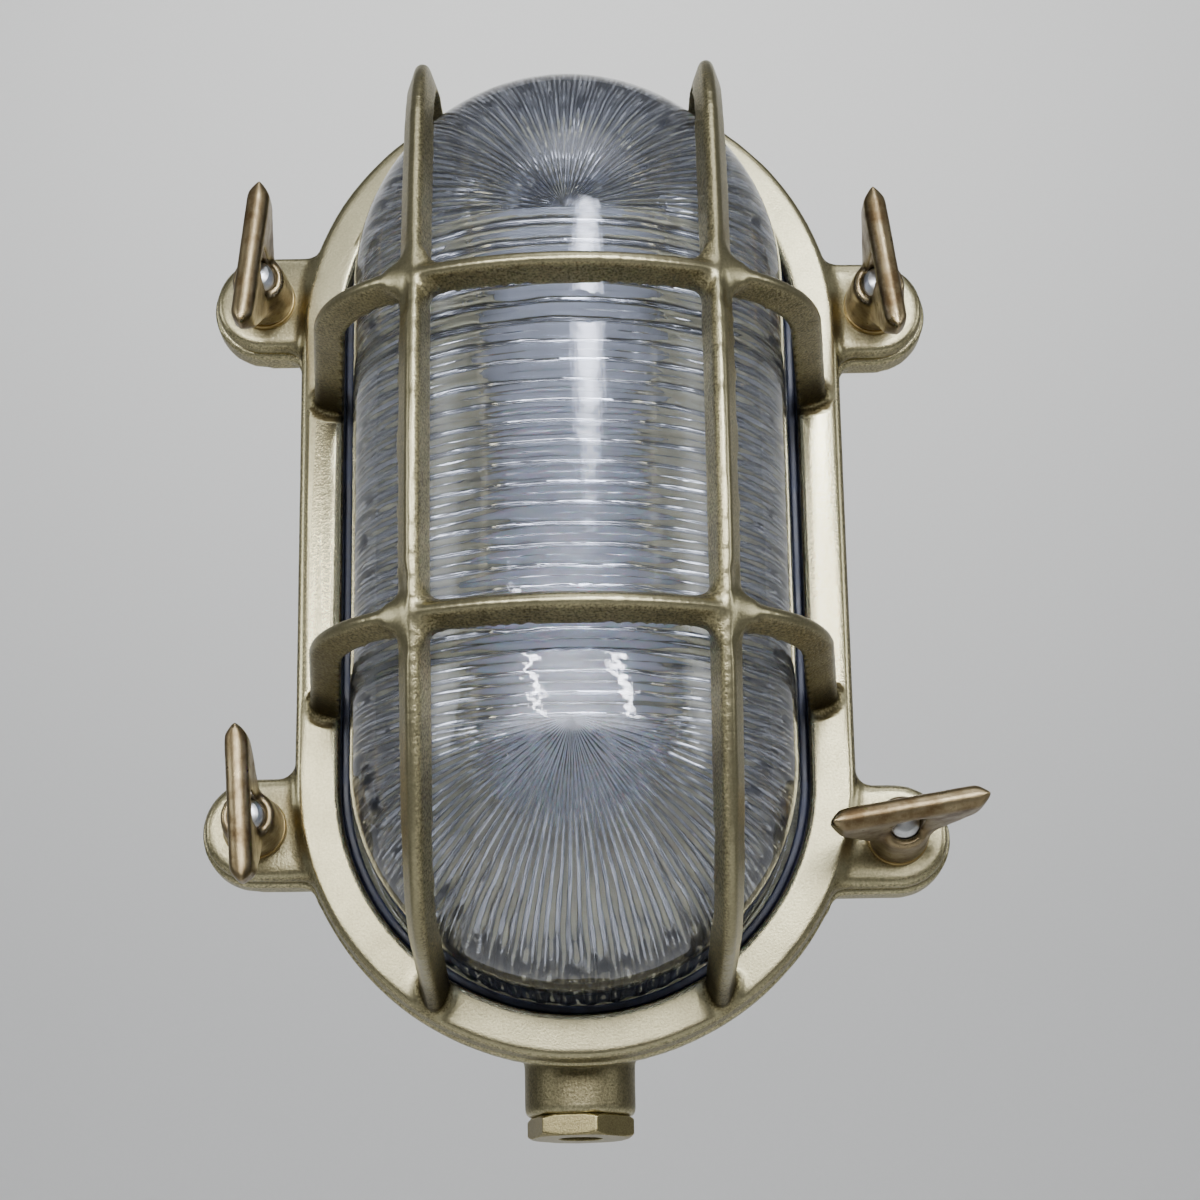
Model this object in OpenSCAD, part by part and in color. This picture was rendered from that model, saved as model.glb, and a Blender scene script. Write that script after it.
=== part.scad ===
// Outdoor wall light: cast brass bulkhead lantern with a caged, ribbed glass.
// Frame: +Z up, +X right, the wall is the plane Y = 0 and the light faces -Y.
// Origin: centre of the four wall screws, on the wall face.
// Every module is drawn lying down (x right, y up, z out of the wall) and turned by stand_up().

/* [Ring and lens opening] */
// Distance of each end arc's centre from the middle of the light
arc_dist = 60; // [30:1:120]
// Wall of the guard ring outside the glass flange
ring_wall = 3.9; // [3:0.1:8]
// Gap between the glass and the opening in the ring, filled by the gasket's lip
lip_gap = 3.5; // [2:0.1:4]
// Thickness of the guard ring
ring_t = 7; // [5:0.5:12]
// Outward draft of the ring's side wall over its thickness
ring_draft = 0.6; // [0:0.1:1.5]

/* [Back housing] */
// Depth of the housing from the wall to the joint with the guard
housing_d = 41; // [34:1:70]
// Thickness of the housing's back wall
back_t = 4; // [3:0.5:6]
// Thickness of the housing's side wall at the back
side_t = 4.5; // [3:0.5:7]
// Draft of the side wall over its height
housing_draft = 3.5; // [1:0.5:6]
// How far the housing rim stands out past the ring
rim_over = 1; // [0:0.25:3]
// Thickness of the housing rim
rim_t = 5; // [4:0.5:8]

/* [Lugs and studs] */
// Distance of the studs from the ring's side
stud_off = 10; // [9:0.5:16]
// Spacing of the studs up the light
stud_pitch_y = 141; // [110:1:170]
// Height of the left pair's middle
stud_mid_left = -1; // [-6:0.5:6]
// Height of the right pair's middle, cast a little lower
stud_mid_right = -5; // [-8:0.5:6]
// Radius of a guard lug's round end
lug_r = 13; // [11:0.5:16]
// How far the lug faces lie below the ring face
lug_step = 2; // [1:0.5:4]
// Thickness of the housing lugs
lug_back_t = 8; // [6:0.5:12]
// Diameter of the studs
stud_d = 8; // [6:0.5:10]
// Length of a stud beyond the washer
stud_out = 17.4; // [14:0.2:19]
// Clearance hole allowance round a stud in the guard lugs
stud_hole_gap = 0.5; // [0.2:0.1:1]

/* [Wing nuts] */
// Span over the wings
wing_span = 40; // [34:1:46]
// Thickness of the wings
wing_t = 6; // [4.5:0.5:7]
// Height of a wing nut
nut_h = 33.4; // [31:0.2:42]
// Height of the round hub
hub_h = 15; // [10:0.5:16]
// Diameter of the hub where it sits on the washer
hub_base_d = 16; // [14:0.5:20]
// Diameter of the hub at its top
hub_top_d = 13.4; // [12.5:0.1:15]
// Thickness of the bridge over the blind bore
bridge_t = 5.5; // [4:0.5:8]
// Depth of the wing tips
tip_h = 6; // [4:0.5:9]
// Turns of the four wing nuts: top left, top right, bottom left, bottom right
nut_turns = [83.7, 97.4, 93.5, 9.4];
// Radial running clearance between stud and nut
thread_gap = 0.1; // [0.05:0.01:0.1]
// Outer diameter of the washers
washer_d = 16; // [14:0.5:20]
// Thickness of the washers
washer_t = 1.6; // [1:0.1:2.5]
// Radial clearance between stud and washer
washer_gap = 0.2; // [0.1:0.05:0.5]

/* [Guard bars] */
// Half spacing of the two long bars
long_bar_x = 35; // [24:0.5:40]
// Half spacing of the two cross bars
cross_bar_y = 40.5; // [25:0.5:55]
// Height of the cross bars' crown above the ring face
cross_crown = 94; // [88:1:120]
// Radius of the cross bars' crown
cross_crown_r = 80; // [75:1:150]
// Radius of the cross bars' shoulders
cross_shoulder_r = 39.5; // [32:0.5:42]
// Lean of the cross bars' legs
cross_lean = 5.5; // [2:0.5:8]
// Radius of the long bars' crown
long_crown_r = 272; // [230:2:400]
// Radius of the long bars' shoulders
long_shoulder_r = 38; // [30:0.5:42]
// How far the long bars' feet stand in from the ring's end
long_foot_in = 11.5; // [10:0.5:13]
// Lean of the long bars' legs
long_lean = 8; // [5:0.5:10]
// Width of a bar across its crown
bar_crown_w = 3.8; // [3:0.2:5]
// Width of a bar across its base
bar_base_w = 8; // [6:0.2:10]
// Depth of a bar
bar_d = 7.5; // [6:0.5:8]
// Radius in the corners where bars cross
cross_fillet = 4; // [2:0.5:6]

/* [Glass] */
// Outer radius of the glass dome and its walls
glass_r = 55.5; // [50:0.5:56]
// Height above the ring face where the dome starts
dome_start = 21; // [10:1:28]
// Wall of the glass between its ribs
glass_t = 4; // [3:0.25:6]
// Depth of the ribs inside the glass
rib_h = 1.6; // [0.6:0.1:2.5]
// Spacing of the ribs
rib_pitch = 5.6; // [4:0.2:9]
// Share of the spacing that a rib takes
rib_share = 0.5; // [0.3:0.05:0.7]
// Ribs in each half round end
end_ribs = 30; // [16:1:40]
// Height above the ring face where the ribs start
rib_start = 5; // [3:0.5:15]
// Width of the glass flange past the dome wall
glass_flange_w = 10.3; // [8:0.1:11]
// Thickness of the glass flange
glass_flange_t = 5.5; // [4:0.5:7]

/* [Gaskets] */
// Thickness of the rear gasket
rear_gasket_t = 2.5; // [1.5:0.25:4]
// Width of the rear gasket
rear_gasket_w = 4; // [3:0.5:5]
// Thickness of the front gasket
front_gasket_t = 1.6; // [1:0.1:2.5]
// How far the gasket lip stays below the ring face
lip_below = 1.5; // [0.5:0.25:3]
// Clearance round gaskets and glass
fit_gap = 0.3; // [0.2:0.05:0.5]

/* [Cable entry] */
// Diameter of the cable boss
boss_d = 28; // [26:0.5:30]
// Distance of the boss below the gasket seat
boss_below = 1; // [0.5:0.5:4]
// How far the boss end lies below the middle
boss_end = 141.2; // [136:0.2:160]
// Diameter of the gland thread
gland_d = 20; // [16:0.5:21]
// Length of the gland nut's shank
shank_l = 12; // [8:0.5:16]
// Across flats of the gland nut
gland_af = 24; // [22.5:0.5:25]
// Height of the gland nut's head
gland_head = 5.4; // [4:0.2:10]
// Cable hole through gland nut and seal
cable_d = 11; // [7:0.5:13]
// Turn of the gland nut's flats
gland_turn = 12.5; // [0:0.5:60]
// Length of the rubber seal
seal_l = 11; // [6:0.5:14]
// Thickness of the gland washer
gland_washer_t = 1.5; // [1:0.1:2]
// Radial clearance of seal and washer in the boss
seal_gap = 0.2; // [0.1:0.05:0.4]

/* [Lamp and holder] */
// Distance of the lamp axis from the wall
lamp_z = 52; // [46:1:60]
// Diameter of the lamp's globe
globe_d = 56; // [45:1:60]
// Height of the globe's centre
globe_y = -46; // [-60:1:-30]
// Height of the holder's mouth
mouth_y = 16; // [5:1:20]
// Diameter of the holder
holder_d = 44; // [40:0.5:48]
// Length of the holder
holder_l = 46; // [40:1:50]
// Diameter of the lamp cap
cap_d = 26; // [24:0.5:27]
// Wall of the threaded shell
shell_t = 0.6; // [0.4:0.1:1]
// Width of the holder bracket
bracket_w = 26; // [20:1:34]
// Thickness of the bracket
bracket_t = 2; // [1.5:0.25:3]

/* [Wall fixing] */
// Spacing of the wall screws across
fix_pitch_x = 76; // [60:1:90]
// Spacing of the wall screws up
fix_pitch_y = 140; // [100:2:150]
// Diameter of the wall screw holes
fix_hole_d = 5.5; // [4:0.5:7]

/* [Hidden] */
$fn = 96;

// Oval sizes, from the glass outwards
flange_r = glass_r + glass_flange_w;
seat_r = flange_r + fit_gap;
ring_r = seat_r + ring_wall;
ring_open_r = glass_r + lip_gap;
stud_pitch_x = 2 * (ring_r + stud_off);

// Levels above the wall
face_z = housing_d + ring_t;
lug_face_z = face_z - lug_step;
nut_z = lug_face_z + washer_t;
stud_end_z = nut_z + stud_out;
rim_r = ring_r + rim_over;
body_top_r = rim_r - 1.5;
body_back_r = body_top_r - housing_draft;
cavity_back_r = body_back_r - side_t;
seat_z = housing_d - glass_flange_t - rear_gasket_t;
ledge_gap = 0.7;
ledge_r = seat_r - rear_gasket_w + ledge_gap;
edge = 1;
fine_edge = 0.6;
ring_in_round = 0.8;
ring_out_round = 1.2;
lug_round = 2;
lug_root_x = ring_open_r + 5;
lug_bite = 0.05;

// Stud places in the order of nut_turns
studs = [
    [-stud_pitch_x / 2, stud_mid_left + stud_pitch_y / 2],
    [stud_pitch_x / 2, stud_mid_right + stud_pitch_y / 2],
    [-stud_pitch_x / 2, stud_mid_left - stud_pitch_y / 2],
    [stud_pitch_x / 2, stud_mid_right - stud_pitch_y / 2]
];

// Turn a part drawn lying down so that it stands against the wall
module stand_up() {
    rotate([90, 0, 0])
        children();
}

// Sweep a section round the oval: two half round ends and two straight sides
module round_oval() {
    for (s = [0, 1]) {
        mirror([0, s, 0])
            translate([0, arc_dist, 0])
                rotate_extrude(angle = 180)
                    children();
        mirror([s, 0, 0])
            translate([0, arc_dist, 0])
                rotate([90, 0, 0])
                    linear_extrude(2 * arc_dist)
                        children();
    }
}

// Section from r0 to r1 and z0 to z1, its upper edges rounded by in_r and out_r
module rounded_section(r0, r1, z0, z1, in_r, out_r) {
    difference() {
        translate([r0, z0])
            square([r1 - r0, z1 - z0]);
        translate([r1 - out_r, z1 - out_r])
            square([2 * out_r, 2 * out_r]);
        if (in_r > 0)
            translate([r0 - in_r, z1 - in_r])
                square([2 * in_r, 2 * in_r]);
    }
    translate([r1 - out_r, z1 - out_r])
        circle(out_r);
    if (in_r > 0)
        translate([r0 + in_r, z1 - in_r])
            circle(in_r);
}

// Lug with a round end at the stud, reaching back to the ring
module lug(r, z0, z1, round_r, reach) {
    rotate([0, 0, -90])
        rotate_extrude(angle = 180)
            rounded_section(0, r, z0, z1, 0, round_r);
    for (s = [0, 1])
        mirror([0, s, 0])
            translate([-reach, 0, 0])
                rotate([90, 0, 90])
                    linear_extrude(reach)
                        rounded_section(0, r, z0, z1, 0, round_r);
}

// Lug at every stud, pointing outwards
module lugs(r, z0, z1, round_r) {
    for (p = studs)
        translate([p[0], p[1], 0])
            mirror([p[0] < 0 ? 1 : 0, 0, 0])
                lug(r, z0, z1, round_r, stud_pitch_x / 2 - lug_root_x);
}

// Hollow corners of radius f between each lug's edges and the ring's side.
// Each arc runs a hair into both, so that it ends on a clear line.
module lug_corners(side_r, r, z0, z1, f) {
    for (p = studs)
        for (v = [-1, 1]) {
            edge_y = abs(p[1] + v * r);
            side_x = sqrt(pow(side_r, 2) - pow(max(0, edge_y - arc_dist), 2));
            cy = edge_y + (v * p[1] > 0 ? f - lug_bite : lug_bite - f);
            cx = sqrt(pow(side_r + f - lug_bite, 2) - pow(max(0, cy - arc_dist), 2));
            mirror([p[0] < 0 ? 1 : 0, 0, 0])
                mirror([0, p[1] < 0 ? 1 : 0, 0])
                    translate([0, 0, z0])
                        linear_extrude(z1 - z0)
                            difference() {
                                translate([side_x - f, min(edge_y, cy)])
                                    square([cx - side_x + f, f]);
                                translate([cx, cy])
                                    circle(f);
                            }
        }
}

module stud_holes(d, z0, z1) {
    for (p = studs)
        translate([p[0], p[1], z0])
            cylinder(d = d, h = z1 - z0);
}

// Back housing casting

boss_z = seat_z - boss_d / 2 - boss_below;
boss_in = boss_end - shank_l - gland_washer_t - seal_l;
boss_seat_t = 3.5;
pad_h = 2;
fix_pad_d = 14;
bracket_pad_d = 8;
blind_floor = 1.5;
bracket_hole_x = 8;
bracket_foot_l = 26;
bracket_foot_y = mouth_y + holder_l + bracket_foot_l / 2 + bracket_t / 2;
small_screw_d = 4;
earth_at = [-36, -96];
earth_pad_d = 11;
earth_pad_h = 4;
earth_screw_d = 5;

// Outside of the housing, drafted up to its rim
module housing_outside() {
    rim_z = housing_d - rim_t;
    polygon([
        [0, 0], [body_back_r - edge, 0], [body_back_r, edge], [body_top_r, rim_z],
        [rim_r - fine_edge, rim_z], [rim_r, rim_z + fine_edge], [rim_r, housing_d], [0, housing_d]
    ]);
}

// Hollow of the housing, with the ledge for the rear gasket
module housing_inside() {
    polygon([
        [0, back_t], [cavity_back_r, back_t], [ledge_r, seat_z], [seat_r, seat_z],
        [seat_r, housing_d + 1], [0, housing_d + 1]
    ]);
}

// One of its pieces at each wall screw
module at_wall_screws(z) {
    for (x = [-1, 1], y = [-1, 1])
        translate([x * fix_pitch_x / 2, y * fix_pitch_y / 2, z])
            children();
}

module at_bracket_screws(z) {
    for (x = [-1, 1])
        translate([x * bracket_hole_x, bracket_foot_y, z])
            children();
}

// Turn a piece drawn along +z so that it runs down the cable boss from level y
module down_boss(y) {
    translate([0, y, boss_z])
        rotate([90, 0, 0])
            children();
}

module housing_shell() {
    difference() {
        union() {
            round_oval()
                housing_outside();
            lugs(lug_r + rim_over, housing_d - lug_back_t, housing_d, fine_edge);
            lug_corners(rim_r, lug_r + rim_over, housing_d - rim_t + fine_edge, housing_d, 4);
        }
        round_oval()
            housing_inside();
    }
}

module back_housing() {
    boss_l = boss_end - boss_in + boss_seat_t;
    color("#8f8a72")
        stand_up()
            difference() {
                union() {
                    housing_shell();
                    down_boss(-boss_in + boss_seat_t) {
                        cylinder(d = boss_d, h = boss_l - edge);
                        translate([0, 0, boss_l - edge])
                            cylinder(d1 = boss_d, d2 = boss_d - 2 * edge, h = edge);
                    }
                    at_wall_screws(back_t - 1)
                        cylinder(d = fix_pad_d, h = pad_h + 1);
                    at_bracket_screws(back_t - 1)
                        cylinder(d = bracket_pad_d, h = pad_h + 1);
                    translate([earth_at[0], earth_at[1], back_t - 1])
                        cylinder(d = earth_pad_d, h = earth_pad_h + 1);
                }
                stud_holes(stud_d, housing_d - lug_back_t - 1, housing_d + 1);
                down_boss(-boss_in)
                    cylinder(d = gland_d + 2 * thread_gap, h = boss_end);
                down_boss(-boss_in + boss_seat_t + 1)
                    cylinder(d = cable_d + 1, h = boss_seat_t + 2);
                at_wall_screws(-1)
                    cylinder(d = fix_hole_d, h = back_t + pad_h + 2);
                at_bracket_screws(blind_floor)
                    cylinder(d = small_screw_d, h = back_t + pad_h);
                translate([earth_at[0], earth_at[1], blind_floor])
                    cylinder(d = earth_screw_d, h = back_t + earth_pad_h);
            }
}

// Guard casting: ring, lugs and cage of four bars

module ring_section() {
    rounded_section(ring_open_r, ring_r, housing_d, face_z, ring_in_round, ring_out_round);
    polygon([
        [seat_r, housing_d], [ring_r + ring_draft, housing_d],
        [ring_r, face_z - ring_out_round], [seat_r, face_z - ring_out_round]
    ]);
}

// Space kept clear inside the ring: the lens opening and the recess over the glass flange
module ring_clear() {
    translate([0, housing_d - 1]) {
        square([ring_open_r, ring_t + 1]);
        square([seat_r, front_gasket_t + 1]);
    }
}

bar_lap = 2;
bar_proud = 0.1;
cross_foot = ring_open_r + bar_d;
long_foot = arc_dist + ring_r - long_foot_in;
crossing_h = cross_crown - cross_crown_r + sqrt(pow(cross_crown_r, 2) - pow(long_bar_x, 2));
long_crown = crossing_h + long_crown_r - sqrt(pow(long_crown_r, 2) - pow(cross_bar_y, 2));
foot_sink = 4;
web_h = bar_d - 2.2;
web_sink = 0.6;

// Bar section: x is the distance in from the crown, y is across the bar, g grows it all round
module bar_section(g = 0) {
    tip_r = bar_crown_w / 2;
    base = bar_base_w / 2 + g;
    difference() {
        translate([-tip_r, 0])
            circle(tip_r + g, $fn = 48);
        translate([-bar_crown_w - tip_r, -bar_crown_w])
            square([bar_crown_w, 2 * bar_crown_w]);
    }
    polygon([
        [-tip_r, -tip_r - g], [-tip_r, tip_r + g],
        [-bar_d - g, base], [-bar_d - g, -base]
    ]);
}

// Shoulder centre of an arch: touches a leaning leg and the crown's arc inside
function arch_centre(foot, lean, shoulder_r, crown, crown_r) =
    let (
        low = crown - crown_r,
        a = [foot - shoulder_r * cos(lean), -shoulder_r * sin(lean) - low],
        u = [-sin(lean), cos(lean)],
        au = a * u,
        t = -au + sqrt(au * au - a * a + pow(crown_r - shoulder_r, 2))
    )
    [a[0] + t * u[0], a[1] + t * u[1] + low];

// Arch in the x-y plane, standing on y = 0, swept with the bar's section.
// Crown and legs run past the shoulders' ends and stand proud of them by a hair.
module arch(foot, lean, shoulder_r, crown, crown_r, sink) {
    c = arch_centre(foot, lean, shoulder_r, crown, crown_r);
    low = crown - crown_r;
    turn = atan2(c[1] - low, c[0]);
    past = bar_lap / crown_r * 180 / PI;
    leg = norm([foot - c[0] - shoulder_r * cos(lean), c[1] + shoulder_r * sin(lean)]);
    translate([0, low, 0])
        rotate([0, 0, turn - past])
            rotate_extrude(angle = 180 - 2 * (turn - past))
                translate([crown_r, 0])
                    bar_section(bar_proud);
    for (s = [0, 1])
        mirror([s, 0, 0]) {
            translate([c[0], c[1], 0])
                rotate([0, 0, lean])
                    rotate_extrude(angle = turn - lean)
                        translate([shoulder_r, 0])
                            bar_section();
            translate([foot, 0, 0])
                rotate([0, 0, lean])
                    translate([0, -sink, 0])
                        rotate([-90, 0, 0])
                            linear_extrude(leg + sink + bar_lap)
                                bar_section(bar_proud);
        }
}

// Web with hollow corners where two bars cross
module crossing() {
    half = (bar_base_w + bar_crown_w) / 4 + cross_fillet;
    linear_extrude(web_h)
        difference() {
            square([2 * half, 2 * half], center = true);
            for (a = [-1, 1], b = [-1, 1])
                translate([a * half, b * half])
                    circle(cross_fillet);
        }
}

module guard() {
    color("#b9b197")
        stand_up()
            difference() {
                union() {
                    round_oval()
                        ring_section();
                    lugs(lug_r, housing_d, lug_face_z, lug_round);
                    lug_corners(ring_r, lug_r, housing_d, lug_face_z - lug_round / 2, 5);
                    for (s = [-1, 1]) {
                        translate([0, s * cross_bar_y, face_z])
                            rotate([90, 0, 0])
                                arch(cross_foot, cross_lean, cross_shoulder_r,
                                    cross_crown, cross_crown_r, foot_sink);
                        translate([s * long_bar_x, 0, face_z])
                            rotate([90, 0, 90])
                                arch(long_foot, long_lean, long_shoulder_r,
                                    long_crown, long_crown_r, foot_sink);
                    }
                    for (a = [-1, 1], b = [-1, 1])
                        translate([a * long_bar_x, b * cross_bar_y, face_z + crossing_h - bar_d + web_sink])
                            crossing();
                }
                round_oval()
                    ring_clear();
                stud_holes(stud_d + 2 * stud_hole_gap, housing_d - 1, face_z + 1);
            }
}

// Glass dome

// Shell section from the wall outwards, thick by t, starting at level z0
module dome_section(outer_r, t, z0) {
    translate([outer_r - t, z0])
        square([t, face_z + dome_start - z0]);
    translate([0, face_z + dome_start])
        intersection() {
            difference() {
                circle(outer_r);
                circle(outer_r - t);
            }
            square(outer_r + 1);
        }
}

rib_root = 0.6;
rib_band = rib_h + rib_root;
rib_r = glass_r - glass_t + rib_root;
rib_count = floor((arc_dist - rib_pitch / 4) / rib_pitch);
rib_w = rib_pitch * rib_share;

// Ribs across the straight part, following the inside of the shell
module cross_ribs() {
    for (i = [-rib_count : rib_count])
        for (s = [0, 1])
            mirror([s, 0, 0])
                translate([0, i * rib_pitch + rib_w / 2, 0])
                    rotate([90, 0, 0])
                        linear_extrude(rib_w)
                            dome_section(rib_r, rib_band, face_z + rib_start);
}

// Fan of ribs in one half round end
module end_fan() {
    step = 180 / end_ribs;
    turn = rib_share * step;
    eye_r = 2;
    intersection() {
        rotate_extrude()
            dome_section(rib_r, rib_band, face_z + rib_start);
        translate([0, 0, face_z])
            linear_extrude(dome_start + glass_r + 1)
                for (i = [0 : end_ribs - 1])
                    rotate([0, 0, (i + 0.5 - rib_share / 2) * step])
                        polygon([
                            [eye_r, 0], [glass_r, 0],
                            [glass_r * cos(turn), glass_r * sin(turn)],
                            [eye_r * cos(turn), eye_r * sin(turn)]
                        ]);
    }
}

module glass_dome() {
    color("#a9b4c4", 0.55)
        stand_up() {
            round_oval() {
                dome_section(glass_r, glass_t, housing_d);
                translate([glass_r - glass_t, housing_d - glass_flange_t])
                    square([flange_r - glass_r + glass_t, glass_flange_t]);
            }
            cross_ribs();
            for (s = [0, 1])
                mirror([0, s, 0])
                    translate([0, arc_dist, 0])
                        end_fan();
        }
}

// Gaskets

module front_gasket() {
    color("#1c1e24")
        stand_up()
            round_oval() {
                translate([glass_r + fit_gap, housing_d])
                    square([flange_r - glass_r - fit_gap, front_gasket_t]);
                rounded_section(glass_r + fit_gap, ring_open_r - fit_gap, housing_d,
                    face_z - lip_below, 0.5, 0.5);
            }
}

module rear_gasket() {
    color("#1c1e24")
        stand_up()
            round_oval()
                translate([flange_r - rear_gasket_w, seat_z])
                    square([rear_gasket_w, rear_gasket_t]);
}

// Studs, washers and wing nuts

module stud(i) {
    color("#d8d8d2")
        stand_up()
            translate([studs[i][0], studs[i][1], housing_d - lug_back_t]) {
                length = stud_end_z - housing_d + lug_back_t;
                cylinder(d = stud_d, h = length - edge);
                translate([0, 0, length - edge])
                    cylinder(d1 = stud_d, d2 = stud_d - 2 * edge, h = edge);
            }
}

module washer(i) {
    color("#a08a5c")
        stand_up()
            translate([studs[i][0], studs[i][1], lug_face_z])
                difference() {
                    cylinder(d = washer_d, h = washer_t);
                    translate([0, 0, -1])
                        cylinder(d = stud_d + 2 * washer_gap, h = washer_t + 2);
                }
}

// Wings: side outline, pencil ended plan and ridged front, cut into one another
module wings() {
    half = wing_span / 2;
    half_t = wing_t / 2;
    root = hub_base_d / 2 - 1;
    shoulder = [hub_base_d / 2 + 1, hub_h * 0.6];
    pencil = half - wing_t * 0.55;
    ridge = 1.6;
    intersection() {
        rotate([90, 0, 0])
            translate([0, 0, -wing_t])
                linear_extrude(2 * wing_t)
                    polygon([
                        [-root, 4], [root, 4], shoulder, [half, nut_h - tip_h], [half, nut_h],
                        [-half, nut_h], [-half, nut_h - tip_h], [-shoulder[0], shoulder[1]]
                    ]);
        linear_extrude(nut_h)
            polygon([
                [-half, 0], [-pencil, half_t], [pencil, half_t],
                [half, 0], [pencil, -half_t], [-pencil, -half_t]
            ]);
        rotate([90, 0, 90])
            translate([0, 0, -half])
                linear_extrude(wing_span)
                    polygon([
                        [-half_t * 0.9, 0], [half_t * 0.9, 0], [half_t, nut_h - ridge],
                        [0, nut_h], [-half_t, nut_h - ridge]
                    ]);
    }
}

module wing_nut(i) {
    color("#8a7450")
        stand_up()
            translate([studs[i][0], studs[i][1], nut_z])
                rotate([0, 0, nut_turns[i]])
                    difference() {
                        union() {
                            cylinder(d1 = hub_base_d, d2 = hub_top_d, h = hub_h);
                            wings();
                        }
                        translate([0, 0, -1])
                            cylinder(d = stud_d + 2 * thread_gap, h = nut_h - bridge_t + 1);
                    }
}

// Cable gland

// Turn a gland piece drawn along +z into the boss, from the boss end inwards
module in_boss(depth) {
    stand_up()
        translate([0, -boss_end + depth, boss_z])
            rotate([90, 0, 0])
                children();
}

module gland_nut() {
    corner_d = gland_af / cos(30);
    top_d = gland_af + fine_edge;
    color("#9a8450")
        in_boss(0)
            difference() {
                union() {
                    translate([0, 0, -shank_l])
                        cylinder(d = gland_d, h = shank_l);
                    intersection() {
                        rotate([0, 0, gland_turn])
                            cylinder(d = corner_d, h = gland_head, $fn = 6);
                        union() {
                            cylinder(d1 = top_d, d2 = corner_d + 1, h = edge);
                            translate([0, 0, edge])
                                cylinder(d = corner_d + 1, h = gland_head - 2 * edge);
                            translate([0, 0, gland_head - edge])
                                cylinder(d1 = corner_d + 1, d2 = top_d, h = edge);
                        }
                    }
                }
                translate([0, 0, -shank_l - 1])
                    cylinder(d = cable_d, h = shank_l + gland_head + 2);
            }
}

module gland_washer() {
    color("#c0b48c")
        in_boss(shank_l + gland_washer_t)
            difference() {
                cylinder(d = gland_d - 2 * seal_gap, h = gland_washer_t);
                translate([0, 0, -1])
                    cylinder(d = cable_d + 2 * seal_gap, h = gland_washer_t + 2);
            }
}

module gland_seal() {
    color("#26262a")
        in_boss(shank_l + gland_washer_t + seal_l)
            difference() {
                cylinder(d = gland_d - 2 * seal_gap, h = seal_l);
                translate([0, 0, -1])
                    cylinder(d = cable_d - 1, h = seal_l + 2);
            }
}

// Lamp holder and lamp, hanging mouth down on the bracket

holder_top = mouth_y + holder_l;
foot_z = back_t + pad_h;
bracket_reach = lamp_z + bracket_w / 2;
holder_screw_x = 8;
holder_hole_l = 9;
small_head = [7.6, 2.8];
screw_gap = 0.2;
screw_short = 0.5;

// Turn a piece drawn along +z so that it runs up the lamp axis from level y
module on_lamp_axis(y) {
    stand_up()
        translate([0, y, lamp_z])
            rotate([-90, 0, 0])
                children();
}

// Side outline of the bracket, bent to a foot on the housing: x runs up, y out of the wall
module bracket_outline() {
    bend = 3;
    translate([holder_top, foot_z + bend])
        square([bracket_t, bracket_reach - foot_z - bend]);
    translate([holder_top + bend, foot_z])
        square([bracket_foot_l - bend, bracket_t]);
    translate([holder_top + bend, foot_z + bend])
        intersection() {
            difference() {
                circle(bend);
                circle(bend - bracket_t);
            }
            translate([-bend, -bend])
                square(bend);
        }
}

module holder_bracket() {
    color("#a9a48e")
        stand_up()
            difference() {
                translate([-bracket_w / 2, 0, 0])
                    rotate([90, 0, 90])
                        linear_extrude(bracket_w)
                            bracket_outline();
                at_bracket_screws(foot_z - 1)
                    cylinder(d = small_screw_d + 2 * screw_gap, h = bracket_t + 2);
                for (x = [-1, 1])
                    translate([x * holder_screw_x, holder_top - 1, lamp_z])
                        rotate([-90, 0, 0])
                            cylinder(d = small_screw_d + 2 * screw_gap, h = bracket_t + 2);
            }
}

// Slotted round headed screw along +z, its head's seat at z = 0, head = [diameter, height]
module round_screw(d, l, head) {
    slot = head[0] / 6;
    ball_d = head[0] * 1.24;
    translate([0, 0, -l])
        cylinder(d = d, h = l);
    difference() {
        intersection() {
            cylinder(d = head[0], h = head[1]);
            translate([0, 0, head[1] - ball_d / 2])
                sphere(d = ball_d);
        }
        translate([-head[0], -slot / 2, head[1] - slot])
            cube([2 * head[0], slot, 2 * slot]);
    }
}

module bracket_screws() {
    color("#c9c4b0")
        stand_up()
            at_bracket_screws(foot_z + bracket_t)
                round_screw(small_screw_d, foot_z + bracket_t - blind_floor - screw_short, small_head);
}

module holder_screws() {
    color("#c9c4b0")
        for (x = [-1, 1])
            stand_up()
                translate([x * holder_screw_x, holder_top + bracket_t, lamp_z])
                    rotate([-90, 0, 0])
                        round_screw(small_screw_d, bracket_t + holder_hole_l - screw_short, small_head);
}

shell_gap = 0.1;
shell_outer_d = cap_d + 2 * (shell_gap + shell_t);
cap_l = 25;
shell_y = mouth_y + 2;
pocket_l = cap_l + 6;
cap_top = shell_y + cap_l - 0.5;
contact_t = 1.2;
terminal_drop = 11;
terminal_y = holder_top - terminal_drop;
terminal_d = 3.5;
terminal_head = [6, 2];
terminal_l = 8;
terminal_in = 4;

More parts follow.
